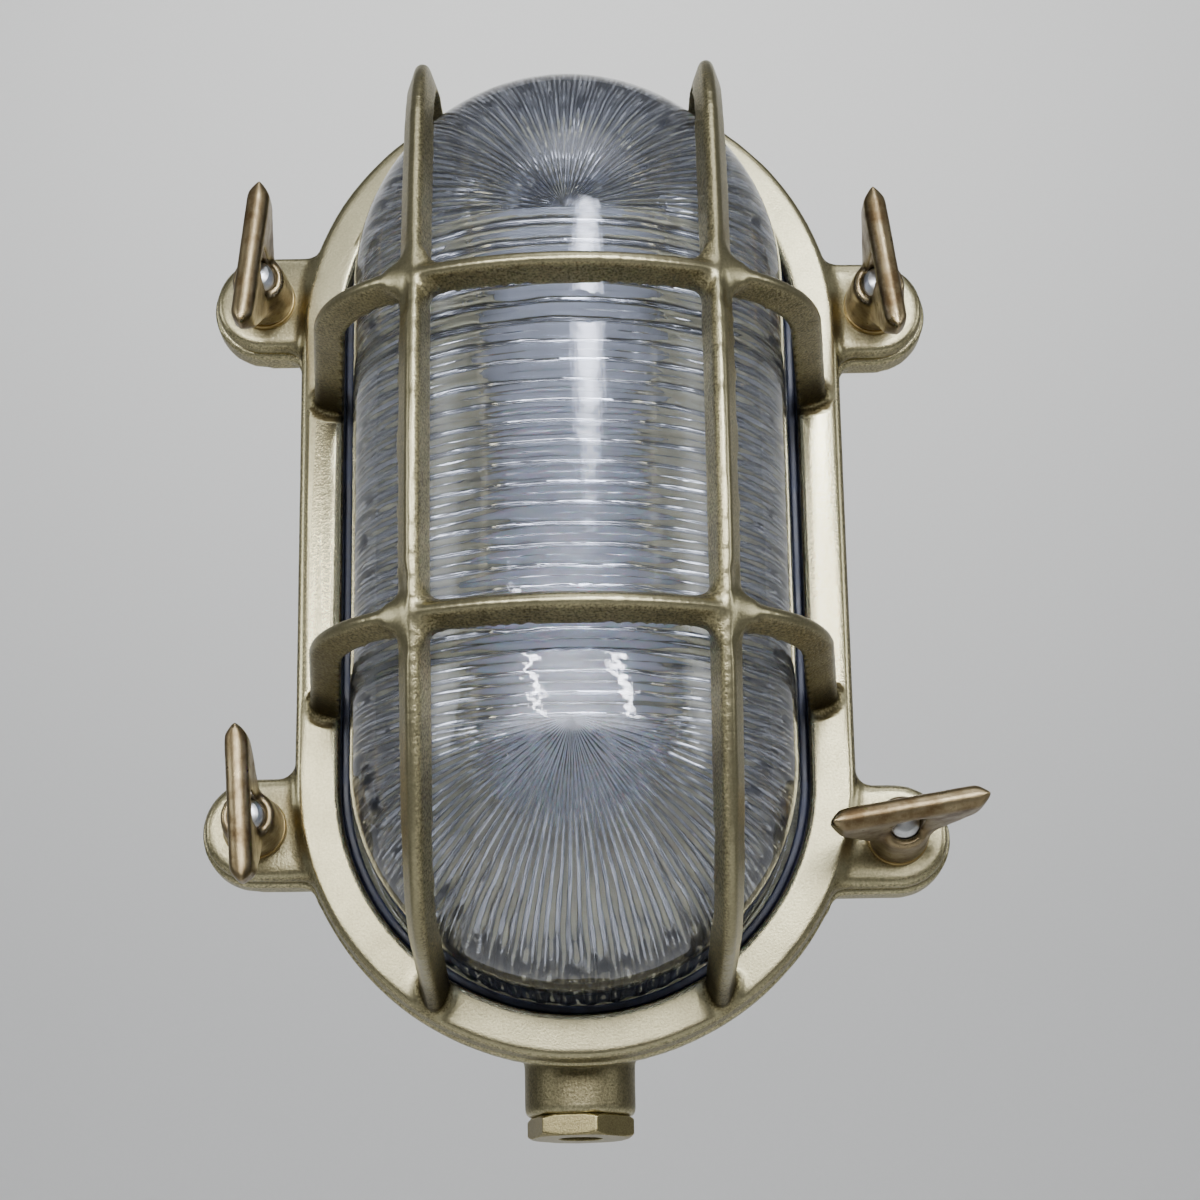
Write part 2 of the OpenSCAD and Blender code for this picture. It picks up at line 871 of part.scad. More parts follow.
module lampholder_body() {
    mouth_h = 1.5;
    top_h = 5;
    color("#f2f0ea")
        on_lamp_axis(mouth_y)
            difference() {
                union() {
                    cylinder(d1 = holder_d - 2 * mouth_h, d2 = holder_d, h = mouth_h);
                    translate([0, 0, mouth_h])
                        cylinder(d = holder_d, h = holder_l - mouth_h - top_h);
                    translate([0, 0, holder_l - top_h])
                        cylinder(d1 = holder_d, d2 = holder_d - 8, h = top_h);
                }
                translate([0, 0, -1])
                    cylinder(d = shell_outer_d + 2 * shell_gap, h = pocket_l + 1);
                for (x = [-1, 1]) {
                    translate([x * holder_screw_x, 0, holder_l - holder_hole_l])
                        cylinder(d = small_screw_d, h = holder_hole_l + 1);
                    translate([x * (holder_d / 2 - terminal_in), 0, terminal_y - mouth_y])
                        rotate([0, 90 * x, 0])
                            terminal_pocket();
                }
            }
}

// Side pocket of a terminal: a square mouth and the screw's hole behind it
module terminal_pocket() {
    mouth = [7, 8];
    translate([-mouth[0] / 2, -mouth[1] / 2, 0])
        cube([mouth[0], mouth[1], terminal_in + 1]);
    translate([0, 0, -terminal_l])
        cylinder(d = terminal_d, h = terminal_l + 1);
}

module lampholder_shell() {
    color("#c8b070")
        on_lamp_axis(shell_y)
            difference() {
                cylinder(d = shell_outer_d, h = cap_l);
                translate([0, 0, -1])
                    cylinder(d = shell_outer_d - 2 * shell_t, h = cap_l + 2);
            }
}

module centre_contact() {
    tongue_h = mouth_y + pocket_l - contact_t - cap_top;
    color("#c8b070")
        on_lamp_axis(mouth_y + pocket_l - contact_t) {
            cylinder(d = 9, h = contact_t);
            translate([0, 0, -tongue_h])
                cylinder(d1 = 4, d2 = 8, h = tongue_h);
        }
}

module terminal_screws() {
    color("#c8b070")
        for (x = [-1, 1])
            stand_up()
                translate([x * (holder_d / 2 - terminal_in), terminal_y, lamp_z])
                    rotate([0, 90 * x, 0])
                        round_screw(terminal_d, terminal_l - screw_short, terminal_head);
}

// Opal lamp with its screw cap, one sealed solid
module lamp_bulb() {
    neck_y = mouth_y - 4;
    neck_d = cap_d + 3;
    neck_h = 5;
    contact_d = 10;
    contact_h = 3;
    globe_r = globe_d / 2;
    lean = asin((globe_r - neck_d / 2) / (neck_y - globe_y));
    touch_y = globe_y + globe_r * sin(lean);
    color("#f4f2ea") {
        on_lamp_axis(globe_y)
            sphere(d = globe_d);
        on_lamp_axis(touch_y)
            cylinder(r1 = globe_r * cos(lean), r2 = neck_d / 2, h = neck_y - touch_y);
        on_lamp_axis(neck_y)
            cylinder(d1 = neck_d, d2 = cap_d, h = neck_h);
        on_lamp_axis(neck_y + neck_h)
            cylinder(d = cap_d, h = cap_top - neck_y - neck_h - contact_h);
        on_lamp_axis(cap_top - contact_h)
            cylinder(d1 = cap_d, d2 = contact_d, h = contact_h);
    }
}

earth_washer_t = 1.2;

module earth_screw() {
    top = back_t + earth_pad_h + earth_washer_t;
    color("#c8a860")
        stand_up()
            translate([earth_at[0], earth_at[1], top])
                round_screw(earth_screw_d, top - blind_floor - screw_short, [9, 3.2]);
}

module earth_washer() {
    color("#c8a860")
        stand_up()
            translate([earth_at[0], earth_at[1], back_t + earth_pad_h])
                difference() {
                    cylinder(d = earth_pad_d - 1, h = earth_washer_t);
                    translate([0, 0, -1])
                        cylinder(d = earth_screw_d + 2 * thread_gap, h = earth_washer_t + 2);
                }
}

back_housing();
guard();
glass_dome();
front_gasket();
rear_gasket();
stud(0);  // stud_top_left
stud(1);  // stud_top_right
stud(2);  // stud_bottom_left
stud(3);  // stud_bottom_right
washer(0);  // washer_top_left
washer(1);  // washer_top_right
washer(2);  // washer_bottom_left
washer(3);  // washer_bottom_right
wing_nut(0);  // wing_nut_top_left
wing_nut(1);  // wing_nut_top_right
wing_nut(2);  // wing_nut_bottom_left
wing_nut(3);  // wing_nut_bottom_right
gland_nut();
gland_washer();
gland_seal();
holder_bracket();
bracket_screws();
holder_screws();
lampholder_body();
lampholder_shell();
centre_contact();
terminal_screws();
lamp_bulb();
earth_screw();
earth_washer();
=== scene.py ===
"""Outdoor wall light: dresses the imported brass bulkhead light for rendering."""

import math

import bmesh
import bpy
import numpy as np
from bpy.props import FloatProperty, FloatVectorProperty, IntProperty, PointerProperty
from mathutils import Matrix, Vector, noise


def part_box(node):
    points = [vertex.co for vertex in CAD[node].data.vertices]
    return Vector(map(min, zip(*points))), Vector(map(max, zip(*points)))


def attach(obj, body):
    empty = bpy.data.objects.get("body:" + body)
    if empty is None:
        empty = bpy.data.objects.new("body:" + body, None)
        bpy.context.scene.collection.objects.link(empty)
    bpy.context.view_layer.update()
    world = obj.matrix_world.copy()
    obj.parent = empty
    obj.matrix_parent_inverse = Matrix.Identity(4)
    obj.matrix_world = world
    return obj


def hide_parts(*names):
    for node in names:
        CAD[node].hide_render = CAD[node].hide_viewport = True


bl_info = {
    "name": "Bulkhead Wall Light",
    "version": (1, 0, 0),
    "blender": (4, 5, 0),
    "location": "View3D > Sidebar > Wall Light",
    "description": "Dresses a cast brass bulkhead light with castings, ribbed glass, fittings and a studio",
    "category": "Object",
}

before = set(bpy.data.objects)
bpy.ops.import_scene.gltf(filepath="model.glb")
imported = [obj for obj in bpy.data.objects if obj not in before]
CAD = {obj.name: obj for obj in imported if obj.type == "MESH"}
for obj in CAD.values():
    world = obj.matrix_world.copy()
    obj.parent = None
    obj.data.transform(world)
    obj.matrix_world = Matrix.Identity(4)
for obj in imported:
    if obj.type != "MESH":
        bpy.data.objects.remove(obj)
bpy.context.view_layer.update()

MM = 0.001
CORNERS = ("top_left", "top_right", "bottom_left", "bottom_right")
# Sizes shared with the castings, in metres: heights are measured out from the wall
ARC = 60 * MM
RING_FACE = 48 * MM
LUG_FACE = 46 * MM
JOINT_FACE = 41 * MM
# The pressed glass is a little slimmer than its nominal size, on a spine a little longer
GLASS_R = 54.3 * MM
GLASS_ARC = 62 * MM
RING_OPEN = 59 * MM
DOME_START = 69 * MM
FLANGE_R = 65.8 * MM
LAMP_OUT = 52 * MM
# Bores, as radii
WASHER_BORE, GLAND_WASHER_BORE, SEAL_BORE = 4.2 * MM, 5.7 * MM, 5 * MM
# The cage: where its bars cross, and the arc that the cross bars' crowns follow
LONG_BAR_X = 35 * MM
CROSS_BAR_Z = 40.5 * MM
CROSS_CROWN = RING_FACE + 94 * MM
CROSS_CROWN_R = 80 * MM
# The photograph looks up at the light, 16 degrees below the line square to the wall
CAMERA_EYE, CAMERA_TARGET = Vector((0.00609, -0.72576, -0.20846)), Vector((0.0069, -0.048, -0.01413))
CAMERA_ROLL = math.radians(-0.89)
CAMERA_LENS, CAMERA_SENSOR = 83.13, 36
# The lights aim at the middle of the object. The narrow ones lean a little off level, so that their
# streaks in the glass lean too
MIDDLE = Vector((0, -0.06, 0))
TUBE_TILT = math.radians(-14)
# Points closer than this are one point
SAME_POINT = 1e-6
# No skin has more triangles than this, so that the object stays light: castings, wing nuts, the rest
CASTING_TRIANGLES, NUT_TRIANGLES, SMALL_TRIANGLES = 188000, 60000, 90000
# Rounds of smoothing that soften the corners of each skin
GUARD_SOFTENING, HOUSING_SOFTENING, NUT_SOFTENING, GLAND_SOFTENING, HOLDER_SOFTENING = 14, 6, 160, 1, 3
# Spacing of the points of the small pieces' skins
NUT_SKIN, GLAND_SKIN, HOLDER_SKIN = 0.3 * MM, 0.32 * MM, 0.6 * MM
# Sides of a turned piece that should look round
ROUND_SIDES = 72


# Small tools for shaders, meshes and node trees

def linear(code):
    """Turn an sRGB hex colour into the linear colour that shaders take."""
    parts = [int(code[i:i + 2], 16) / 255 for i in (1, 3, 5)]
    return tuple(c / 12.92 if c <= 0.04045 else ((c + 0.055) / 1.055) ** 2.4 for c in parts) + (1,)


def add(tree, kind, settings=None, feeds=None):
    """Add a node with its settings, and feed its inputs with values or other nodes' outputs."""
    count = len(tree.nodes)
    made = tree.nodes.new(kind)
    made.location = (220 * (count % 10), -300 * (count // 10))
    for name, value in (settings or {}).items():
        setattr(made, name, value)
    for key, value in (feeds or {}).items():
        if isinstance(value, bpy.types.NodeSocket):
            tree.links.new(value, made.inputs[key])
        else:
            made.inputs[key].default_value = value
    return made


def maths(tree, operation, *values):
    """One step of arithmetic in a tree."""
    return add(tree, "ShaderNodeMath", {"operation": operation}, dict(enumerate(values))).outputs[0]


def span(tree, value, low, high, start, end, **settings):
    """Map what lies between low and high in a value onto start to end."""
    return add(tree, "ShaderNodeMapRange", settings, {
        "Value": value, "From Min": low, "From Max": high, "To Min": start, "To Max": end}).outputs[0]


def toned(colour, share):
    """A colour times a share, never above white."""
    return tuple(min(1, share * c) for c in colour[:3]) + (1,)


class Skin:
    """A material in the making: its tree, its shader with fixed values, and the object's coordinates."""

    def __init__(self, name, **shader_values):
        self.made = bpy.data.materials.new(name)
        self.made.use_nodes = True
        self.tree = self.made.node_tree
        self.shader = self.tree.nodes["Principled BSDF"]
        for key, value in shader_values.items():
            self.shader.inputs[key.replace("_", " ")].default_value = value
        self.place = add(self.tree, "ShaderNodeTexCoord").outputs["Object"]

    def layer(self, name):
        """Values that a piece stores on its points."""
        return add(self.tree, "ShaderNodeAttribute", {"attribute_name": name}).outputs["Fac"]

    def noise(self, size, detail=2, roughness=0.5):
        """Noise whose patches are about this size."""
        return add(self.tree, "ShaderNodeTexNoise", None, {
            "Vector": self.place, "Scale": 1 / size, "Detail": detail, "Roughness": roughness}).outputs[0]

    def span(self, *values):
        """Map a value's range onto another, in this tree."""
        return span(self.tree, *values)

    def maths(self, operation, *values):
        """One step of arithmetic in this tree."""
        return maths(self.tree, operation, *values)

    def blend(self, share, first, second, way="MIX"):
        """Mix two colours."""
        return add(self.tree, "ShaderNodeMix", {"data_type": "RGBA", "blend_type": way},
                   {0: share, 6: first, 7: second}).outputs[2]

    def bump(self, height, strength, depth, under=None):
        """Make the skin look raised where the height is, on top of another bump if one is given."""
        feeds = {"Strength": strength, "Distance": depth, "Height": height}
        if under:
            feeds["Normal"] = under
        return add(self.tree, "ShaderNodeBump", None, feeds).outputs[0]

    def finish(self, colour, roughness, normal):
        """Feed the shader with what was worked out, and hand the material over."""
        for socket, value in (("Base Color", colour), ("Roughness", roughness), ("Normal", normal)):
            if value:
                self.tree.links.new(value, self.shader.inputs[socket])
        return self.made


def coat(mesh, material):
    """Make a mesh all of one material."""
    mesh.materials.clear()
    mesh.materials.append(material)


def put_in_scene(name, mesh, material=None):
    """Make an object of a mesh at the origin, all of one material if one is given."""
    piece = bpy.data.objects.new(name, mesh)
    bpy.context.scene.collection.objects.link(piece)
    if material:
        coat(mesh, material)
    return piece


def settle(piece):
    """Turn a piece's modifiers into its plain mesh."""
    graph = bpy.context.evaluated_depsgraph_get()
    plain = bpy.data.meshes.new_from_object(
        piece.evaluated_get(graph), preserve_all_data_layers=True, depsgraph=graph)
    piece.modifiers.clear()
    piece.data = plain


def clean(mesh):
    """Merge doubles, drop loose edges and point the faces outwards."""
    work = bmesh.new()
    work.from_mesh(mesh)
    bmesh.ops.remove_doubles(work, verts=work.verts, dist=SAME_POINT)
    bmesh.ops.dissolve_degenerate(work, edges=work.edges, dist=SAME_POINT / 10)
    loose = [e for e in work.edges if not e.link_faces]
    bmesh.ops.delete(work, geom=loose, context="EDGES")
    bmesh.ops.recalc_face_normals(work, faces=work.faces)
    work.to_mesh(mesh)
    work.free()


def wrap(piece, voxel):
    """Give a piece the modifier that wraps it in one closed skin."""
    skin = piece.modifiers.new("Skin", "REMESH")
    skin.mode = "VOXEL"
    skin.voxel_size = voxel


def cast_skin(name, node, voxel, soften, most_triangles=CASTING_TRIANGLES, file_down=None):
    """Copy a CAD node into one closed skin whose corners are soft as cast ones, thinned if need be.
    A function may file the skin down before its corners are softened."""
    mesh = bpy.data.meshes.new(name)
    work = bmesh.new()
    work.from_mesh(CAD[node].data)
    bmesh.ops.remove_doubles(work, verts=work.verts, dist=SAME_POINT)
    work.to_mesh(mesh)
    work.free()
    piece = put_in_scene(name, mesh)
    wrap(piece, voxel)
    if file_down:
        settle(piece)
        file_down(piece)
        wrap(piece, voxel)
    rub = piece.modifiers.new("Rub", "SMOOTH")
    rub.factor = 0.5
    rub.iterations = soften
    settle(piece)
    triangles = 2 * len(piece.data.polygons)
    if triangles > most_triangles:
        thin = piece.modifiers.new("Thin", "DECIMATE")
        thin.ratio = most_triangles / triangles
        settle(piece)
    return piece


def points_of(piece):
    """The mesh's points and their normals as arrays."""
    mesh = piece.data
    places = np.empty(3 * len(mesh.vertices), np.float32)
    normals = np.empty_like(places)
    mesh.vertices.foreach_get("co", places)
    mesh.vertex_normals.foreach_get("vector", normals)
    return places.reshape(-1, 3).astype(float), normals.reshape(-1, 3).astype(float)


def move_points(piece, places):
    """Put the mesh's points in new places."""
    piece.data.vertices.foreach_set("co", places.astype(np.float32).ravel())
    piece.data.update()


def averager(mesh):
    """Give a function that sets each point to the mean of the points that its edges lead to."""
    ends = np.empty(2 * len(mesh.edges), np.int32)
    mesh.edges.foreach_get("vertices", ends)
    ends = ends.reshape(-1, 2)
    here, there = np.concatenate([ends, ends[:, ::-1]]).T
    size = len(mesh.vertices)
    count = np.maximum(np.bincount(here, minlength=size), 1)[:, None]

    def average(places):
        return np.stack([np.bincount(here, places[there, k], size) for k in range(3)], 1) / count
    return average


def bulge(piece, rounds):
    """How far each point stands out of its surroundings, or into them, in metres."""
    places, normals = points_of(piece)
    average = averager(piece.data)
    flat = places
    for _ in range(rounds):
        flat = average(flat)
    return ((places - flat) * normals).sum(1)


def fill_corners(piece, rounds, where):
    """Fill the hollow corners where asked, as a pattern maker's fillets do. Nothing else moves."""
    average = averager(piece.data)
    for _ in range(rounds):
        places, normals = points_of(piece)
        hollow = ((average(places) - places) * normals).sum(1) * where
        move_points(piece, places + normals * np.maximum(hollow, 0)[:, None])


def file_crossings(guard):
    """File the webs beside each crossing down to the cross bar's own crown."""
    places, _ = points_of(guard)
    x, z = abs(places[:, 0]), abs(abs(places[:, 2]) - CROSS_BAR_Z)
    crest = CROSS_CROWN - CROSS_CROWN_R + np.sqrt(CROSS_CROWN_R ** 2 - x ** 2)
    crest -= 0.4 * np.maximum(z - 1.5 * MM, 0)
    near = (x > LONG_BAR_X + 1.5 * MM) & (x < LONG_BAR_X + 10 * MM) & (z < 10 * MM)
    places[:, 1] = np.where(near, np.maximum(places[:, 1], -crest), places[:, 1])
    move_points(guard, places)


def ramp(values, start, end):
    """0 at start, 1 at end and smooth between."""
    t = np.clip((values - start) / (end - start), 0, 1)
    return t * t * (3 - 2 * t)


def noise_at(places):
    """Smooth noise from -1 to 1 at each place."""
    return np.array([noise.noise(Vector(p)) for p in places])


def mark(piece, **layers):
    """Store values on the points, for the materials to read."""
    for name, values in layers.items():
        layer = piece.data.attributes.new(name, "FLOAT", "POINT")
        layer.data.foreach_set("value", np.asarray(values, np.float32))


def uneven(piece, size, depth, where):
    """Sink the skin here and there, as a sand mould leaves it."""
    places, normals = points_of(piece)
    sink = depth * (0.5 + 0.5 * noise_at(places / size)) * where
    move_points(piece, places - normals * sink[:, None])


def rounded(corners, radius):
    """Round the corners of a closed outline. A corner may give its own radius as a third value."""
    outline = []
    count, steps = len(corners), 4
    for i in range(count):
        here = np.array(corners[i][:2], float)
        r = corners[i][2] if len(corners[i]) > 2 else radius
        before = np.array(corners[i - 1][:2], float) - here
        after = np.array(corners[(i + 1) % count][:2], float) - here
        a = here + before / np.linalg.norm(before) * min(r, np.linalg.norm(before) / 2.01)
        b = here + after / np.linalg.norm(after) * min(r, np.linalg.norm(after) / 2.01)
        for k in range(steps + 1):
            t = k / steps
            outline.append(tuple((1 - t) ** 2 * a + 2 * t * (1 - t) * here + t * t * b))
    return outline


def new_mesh(name, columns, rows, points, close_rows):
    """A mesh of faces between columns of points that run all the way round. Rows close too if asked.
    Each face runs from its column to the next, then a row on and back."""
    faces = []
    for s in range(columns):
        t = (s + 1) % columns
        for j in range(rows if close_rows else rows - 1):
            k = (j + 1) % rows
            faces.append((s * rows + j, t * rows + j, t * rows + k, s * rows + k))
    mesh = bpy.data.meshes.new(name)
    mesh.from_pydata(points, [], faces)
    return mesh


def swept_oval(name, section, end_steps, side_heights, closed, arc=ARC):
    """Sweep a section (distance from the oval's spine, height out from the wall) round the oval."""
    stops = [(arc, math.cos(a), math.sin(a)) for a in np.linspace(0, math.pi, end_steps + 1)]
    stops += [(y, -1, 0) for y in side_heights]
    stops += [(-arc, math.cos(a), math.sin(a)) for a in np.linspace(math.pi, 2 * math.pi, end_steps + 1)]
    stops += [(y, 1, 0) for y in reversed(side_heights)]
    points = [(r * dx, -z, y + r * dy) for y, dx, dy in stops for r, z in section]
    mesh = new_mesh(name, len(stops), len(section), points, closed)
    clean(mesh)
    return mesh


def turned(name, outline, steps, place=None, closed=True):
    """Turn an outline (radius, height) round the z axis, then set it in place if one is given.
    Its UV map runs once round, and along the outline in millimetres."""
    n = len(outline)
    angles = [2 * math.pi * i / steps for i in range(steps)]
    points = [(r * math.cos(a), r * math.sin(a), z) for a in angles for r, z in outline]
    mesh = new_mesh(name, steps, n, points, closed)
    along = [0]
    for j in range(n):
        along.append(along[-1] + math.dist(outline[j], outline[(j + 1) % n]) / MM)
    uvs = []
    for i in range(steps):
        left, right = i / steps, (i + 1) / steps
        for near, far in list(zip(along, along[1:]))[:n if closed else n - 1]:
            uvs += [left, near, right, near, right, far, left, far]
    mesh.uv_layers.new(name="Turning").data.foreach_set("uv", uvs)
    clean(mesh)
    if place:
        mesh.transform(place)
    return mesh


def turned_ring(node, name, bore, soft, metal, body, slot, rim=None, on_wall=False):
    """Turn a ring that fills a CAD node's box, round the vertical or a line out from the wall.
    Its corners are rounded by the size soft, and its outer rim by its own size if one is given."""
    low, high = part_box(node)
    centre, radius = (low + high) / 2, (high.x - low.x) / 2
    thick = high.y - low.y if on_wall else high.z - low.z
    place = (out_from_wall(centre.x, -high.y, centre.z) if on_wall
             else Matrix.Translation((centre.x, centre.y, low.z)))
    outline = rounded([(bore, 0), (radius, 0), (radius, thick, rim or soft), (bore, thick)], soft)
    ring = put_in_scene(name, turned(node, outline, ROUND_SIDES, place), metal)
    dress(ring, 50, body, slot, node)


def run_tree(piece, tree, **values):
    """Put a node tree on a piece, set its inputs by identifier, and turn the result into plain mesh."""
    work = piece.modifiers.new(tree.name, "NODES")
    work.node_group = tree
    for item in tree.interface.items_tree:
        if item.item_type == "SOCKET" and item.in_out == "INPUT" and item.name in values:
            work[item.identifier] = values[item.name]
    settle(piece)


def new_tree(name, *sizes):
    """Start a Geometry Nodes tree with named inputs. Return it, its inputs' values and its end."""
    tree = bpy.data.node_groups.new(name, "GeometryNodeTree")
    tree.interface.new_socket("Geometry", in_out="INPUT", socket_type="NodeSocketGeometry")
    for label in sizes:
        tree.interface.new_socket(label, in_out="INPUT", socket_type="NodeSocketFloat")
    tree.interface.new_socket("Material", in_out="INPUT", socket_type="NodeSocketMaterial")
    tree.interface.new_socket("Geometry", in_out="OUTPUT", socket_type="NodeSocketGeometry")
    return tree, add(tree, "NodeGroupInput").outputs, add(tree, "NodeGroupOutput")


def move_skin(tree, given, end, way, length):
    """Move a tree's points along a direction, and end it with real geometry and the material."""
    shift = add(tree, "ShaderNodeVectorMath", {"operation": "SCALE"}, {0: way, "Scale": length})
    moved = add(tree, "GeometryNodeSetPosition", None,
                {"Geometry": given["Geometry"], "Offset": shift.outputs[0]})
    real = add(tree, "GeometryNodeRealizeInstances", None, {"Geometry": moved.outputs[0]})
    coat = add(tree, "GeometryNodeSetMaterial", None,
               {"Geometry": real.outputs[0], "Material": given["Material"]})
    tree.links.new(coat.outputs[0], end.inputs[0])


def out_from_wall(x, out, z):
    """Placing of a part drawn along +z so that it points out from the wall."""
    return Matrix.Translation((x, -out, z)) @ Matrix.Rotation(math.radians(90), 4, "X")


def dress(piece, crisp, body, slot, *stands_for):
    """Shade a finished piece smooth but for edges sharper than the crisp angle. Let it ride on its body and
    stand for CAD nodes, which it hides. The slot is not used."""
    piece.data.shade_smooth()
    piece.data.set_sharp_from_angle(angle=math.radians(crisp))
    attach(piece, body)
    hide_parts(*stands_for)


# Node trees for what repeats

def thread_tree():
    """Cut a screw thread into the outside of a round bar that stands on the z axis."""
    tree, given, out = new_tree("Cut thread", "Radius", "Pitch", "Depth", "Start", "End")
    x, y, z = add(tree, "ShaderNodeSeparateXYZ", None,
                  {0: add(tree, "GeometryNodeInputPosition").outputs[0]}).outputs
    flat = add(tree, "ShaderNodeCombineXYZ", None, {"X": x, "Y": y, "Z": 0}).outputs[0]
    length = add(tree, "ShaderNodeVectorMath", {"operation": "LENGTH"}, {0: flat}).outputs["Value"]
    outwards = add(tree, "ShaderNodeVectorMath", {"operation": "NORMALIZE"}, {0: flat}).outputs[0]
    turn = maths(tree, "DIVIDE", maths(tree, "ARCTAN2", y, x), 2 * math.pi)
    phase = maths(tree, "SUBTRACT", maths(tree, "DIVIDE", z, given["Pitch"]), turn)
    groove = span(tree, maths(tree, "PINGPONG", phase, 0.5), 0.06, 0.45, 0, 1)
    # Only the outer skin between start and end is cut
    outer = maths(tree, "GREATER_THAN", length, maths(tree, "MULTIPLY", given["Radius"], 0.985))
    above = maths(tree, "GREATER_THAN", z, given["Start"])
    below = maths(tree, "LESS_THAN", z, given["End"])
    cut = given["Depth"]
    for part in (groove, outer, above, below):
        cut = maths(tree, "MULTIPLY", cut, part)
    move_skin(tree, given, out, outwards, maths(tree, "MULTIPLY", cut, -1))
    return tree


def rib_tree():
    """Raise ribs on the inside of the glass, from the turn, fade and direction stored on its points."""
    tree, given, out = new_tree("Glass ribs", "Depth", "Share", "Softness")
    turn, fade, way = [
        add(tree, "GeometryNodeInputNamedAttribute", {"data_type": kind}, {"Name": name}).outputs[0]
        for name, kind in (("rib_turn", "FLOAT"), ("rib_fade", "FLOAT"), ("rib_way", "FLOAT_VECTOR"))]
    wave = maths(tree, "PINGPONG", turn, 0.5)
    half = maths(tree, "MULTIPLY", given["Share"], 0.5)
    foot = maths(tree, "ADD", half, given["Softness"])
    crest = maths(tree, "SUBTRACT", half, given["Softness"])
    shape = span(tree, wave, foot, crest, 0, 1, interpolation_type="SMOOTHSTEP")
    height = maths(tree, "MULTIPLY", shape, fade)
    move_skin(tree, given, out, way, maths(tree, "MULTIPLY", height, given["Depth"]))
    return tree


# Materials

def sand_cast_brass(name, face, cast, sunk, grain):
    """Brass cast in sand: satin champagne where the face was linished and where light is painted in, olive
    and granular where it is as cast, brown in the corners and in the painted shade of undersides. Edges are
    lighter, as wear and as a painted highlight. The eye sees a fine sparkle all over."""
    skin = Skin(name, Metallic=1)
    faced, low, wear_and_highlight = skin.layer("faced"), skin.layer("sunk"), skin.layer("edge")
    # Cloudy patches about 12 mm across, and the sand's grain, drawn at twice its real size to show
    cloud, sand = skin.noise(12 * MM, 5, 0.62), skin.noise(grain, 2, 0.6)
    cloudy = skin.span(cloud, 0.35, 0.65, 0, 1)
    colour = skin.blend(faced, skin.blend(cloudy, cast, toned(cast, 0.75)),
                        skin.blend(cloudy, face, toned(face, 0.82)))
    # Painted shade: undersides and inner sides turn dark brown, together with the brown of the hollows
    colour = skin.blend(low, colour, sunk)
    # Painted highlight: convex edges turn lighter, together with their wear
    colour = skin.blend(wear_and_highlight, colour, toned(face, 1.2))
    # Each grain is lighter or darker than the next, less so where the face was linished
    open_skin = skin.span(faced, 0, 0.8, 1, 0.25)
    colour = skin.blend(open_skin, colour, skin.span(sand, 0.32, 0.68, 0.45, 1.5), "MULTIPLY")
    dull = skin.maths("MULTIPLY_ADD", low, 0.16, skin.span(faced, 0, 1, 0.38, 0.3))
    bump = skin.bump(skin.maths("MULTIPLY", sand, open_skin), 0.7, 0.25 * MM)
    return skin.finish(colour, skin.maths("MULTIPLY_ADD", wear_and_highlight, -0.1, dull),
                       skin.bump(cloud, 0.2, 0.2 * MM, bump))


def cast_bronze(name, bright, brown):
    """Bronze cast nuts, dark with handling: coppery where rubbed, brown where not and in the hollows. The
    edges are lighter, as wear and as a painted highlight.
    """
    skin = Skin(name, Metallic=1)
    low, wear_and_highlight = skin.layer("sunk"), skin.layer("edge")
    cloud, sand = skin.noise(6 * MM, 5, 0.65), skin.noise(0.45 * MM, 3, 0.65)
    colour = skin.blend(skin.span(cloud, 0.4, 0.62, 0, 0.8), bright, brown)
    # Painted highlight: convex edges turn lighter, together with their wear, and the hollows turn brown
    colour = skin.blend(wear_and_highlight, skin.blend(low, colour, brown), toned(bright, 1.35))
    dull = skin.maths("MULTIPLY_ADD", wear_and_highlight, -0.1, skin.span(cloud, 0.3, 0.7, 0.26, 0.46))
    return skin.finish(colour, dull, skin.bump(sand, 0.4, 0.12 * MM))


def turned_metal(name, colour, dark, rough, ring):
    """Metal turned on a lathe or rolled: fine rings round it catch the light."""
    skin = Skin(name, Metallic=1)
    turning = add(skin.tree, "ShaderNodeUVMap", {"uv_map": "Turning"}).outputs[0]
    along = add(skin.tree, "ShaderNodeSeparateXYZ", None, {0: turning}).outputs["Y"]
    rings = add(skin.tree, "ShaderNodeTexNoise", {"noise_dimensions": "1D"},
                {"W": along, "Scale": MM / ring, "Detail": 3, "Roughness": 0.7}).outputs[0]
    tarnish = skin.span(skin.noise(5 * MM, 4, 0.6), 0.42, 0.7, 0, 0.7)
    return skin.finish(skin.blend(tarnish, colour, dark), skin.maths("MULTIPLY_ADD", rings, 0.16, rough),
                       skin.bump(rings, 0.3, 0.04 * MM))


def plated_metal(name, colour, dark, rough, grain):
    """Sheet or screw metal with a thin plating: even colour, faint mottling and fine grain."""
    skin = Skin(name, Metallic=1)
    cloud, fine = skin.noise(4 * MM, 4, 0.6), skin.noise(grain, 2, 0.6)
    spots = skin.span(cloud, 0.4, 0.68, 0, 0.75)
    return skin.finish(skin.blend(spots, colour, dark), skin.maths("MULTIPLY_ADD", cloud, 0.2, rough),
                       skin.bump(fine, 0.25, 0.05 * MM))


def pressed_glass(name, tint, rough):
    """Soda-lime glass pressed in a mould: clear, faintly blue in its thickness. The eye sees slow waves
    in its reflections, and fine strokes along the dome."""
    skin = Skin(name, Base_Color=tint, Roughness=rough, IOR=1.52, Transmission_Weight=0.97)
    waves = skin.bump(skin.noise(7 * MM, 2, 0.55), 0.4, 0.25 * MM)
    drawn = add(skin.tree, "ShaderNodeVectorMath", {"operation": "MULTIPLY"},
                {0: skin.place, 1: (1 / (0.8 * MM), 1 / (0.8 * MM), 1 / (7 * MM))}).outputs[0]
    fibres = add(skin.tree, "ShaderNodeTexNoise", None, {"Vector": drawn, "Scale": 1, "Detail": 2}).outputs[0]
    return skin.finish(None, None, skin.bump(fibres, 0.3, 0.04 * MM, waves))


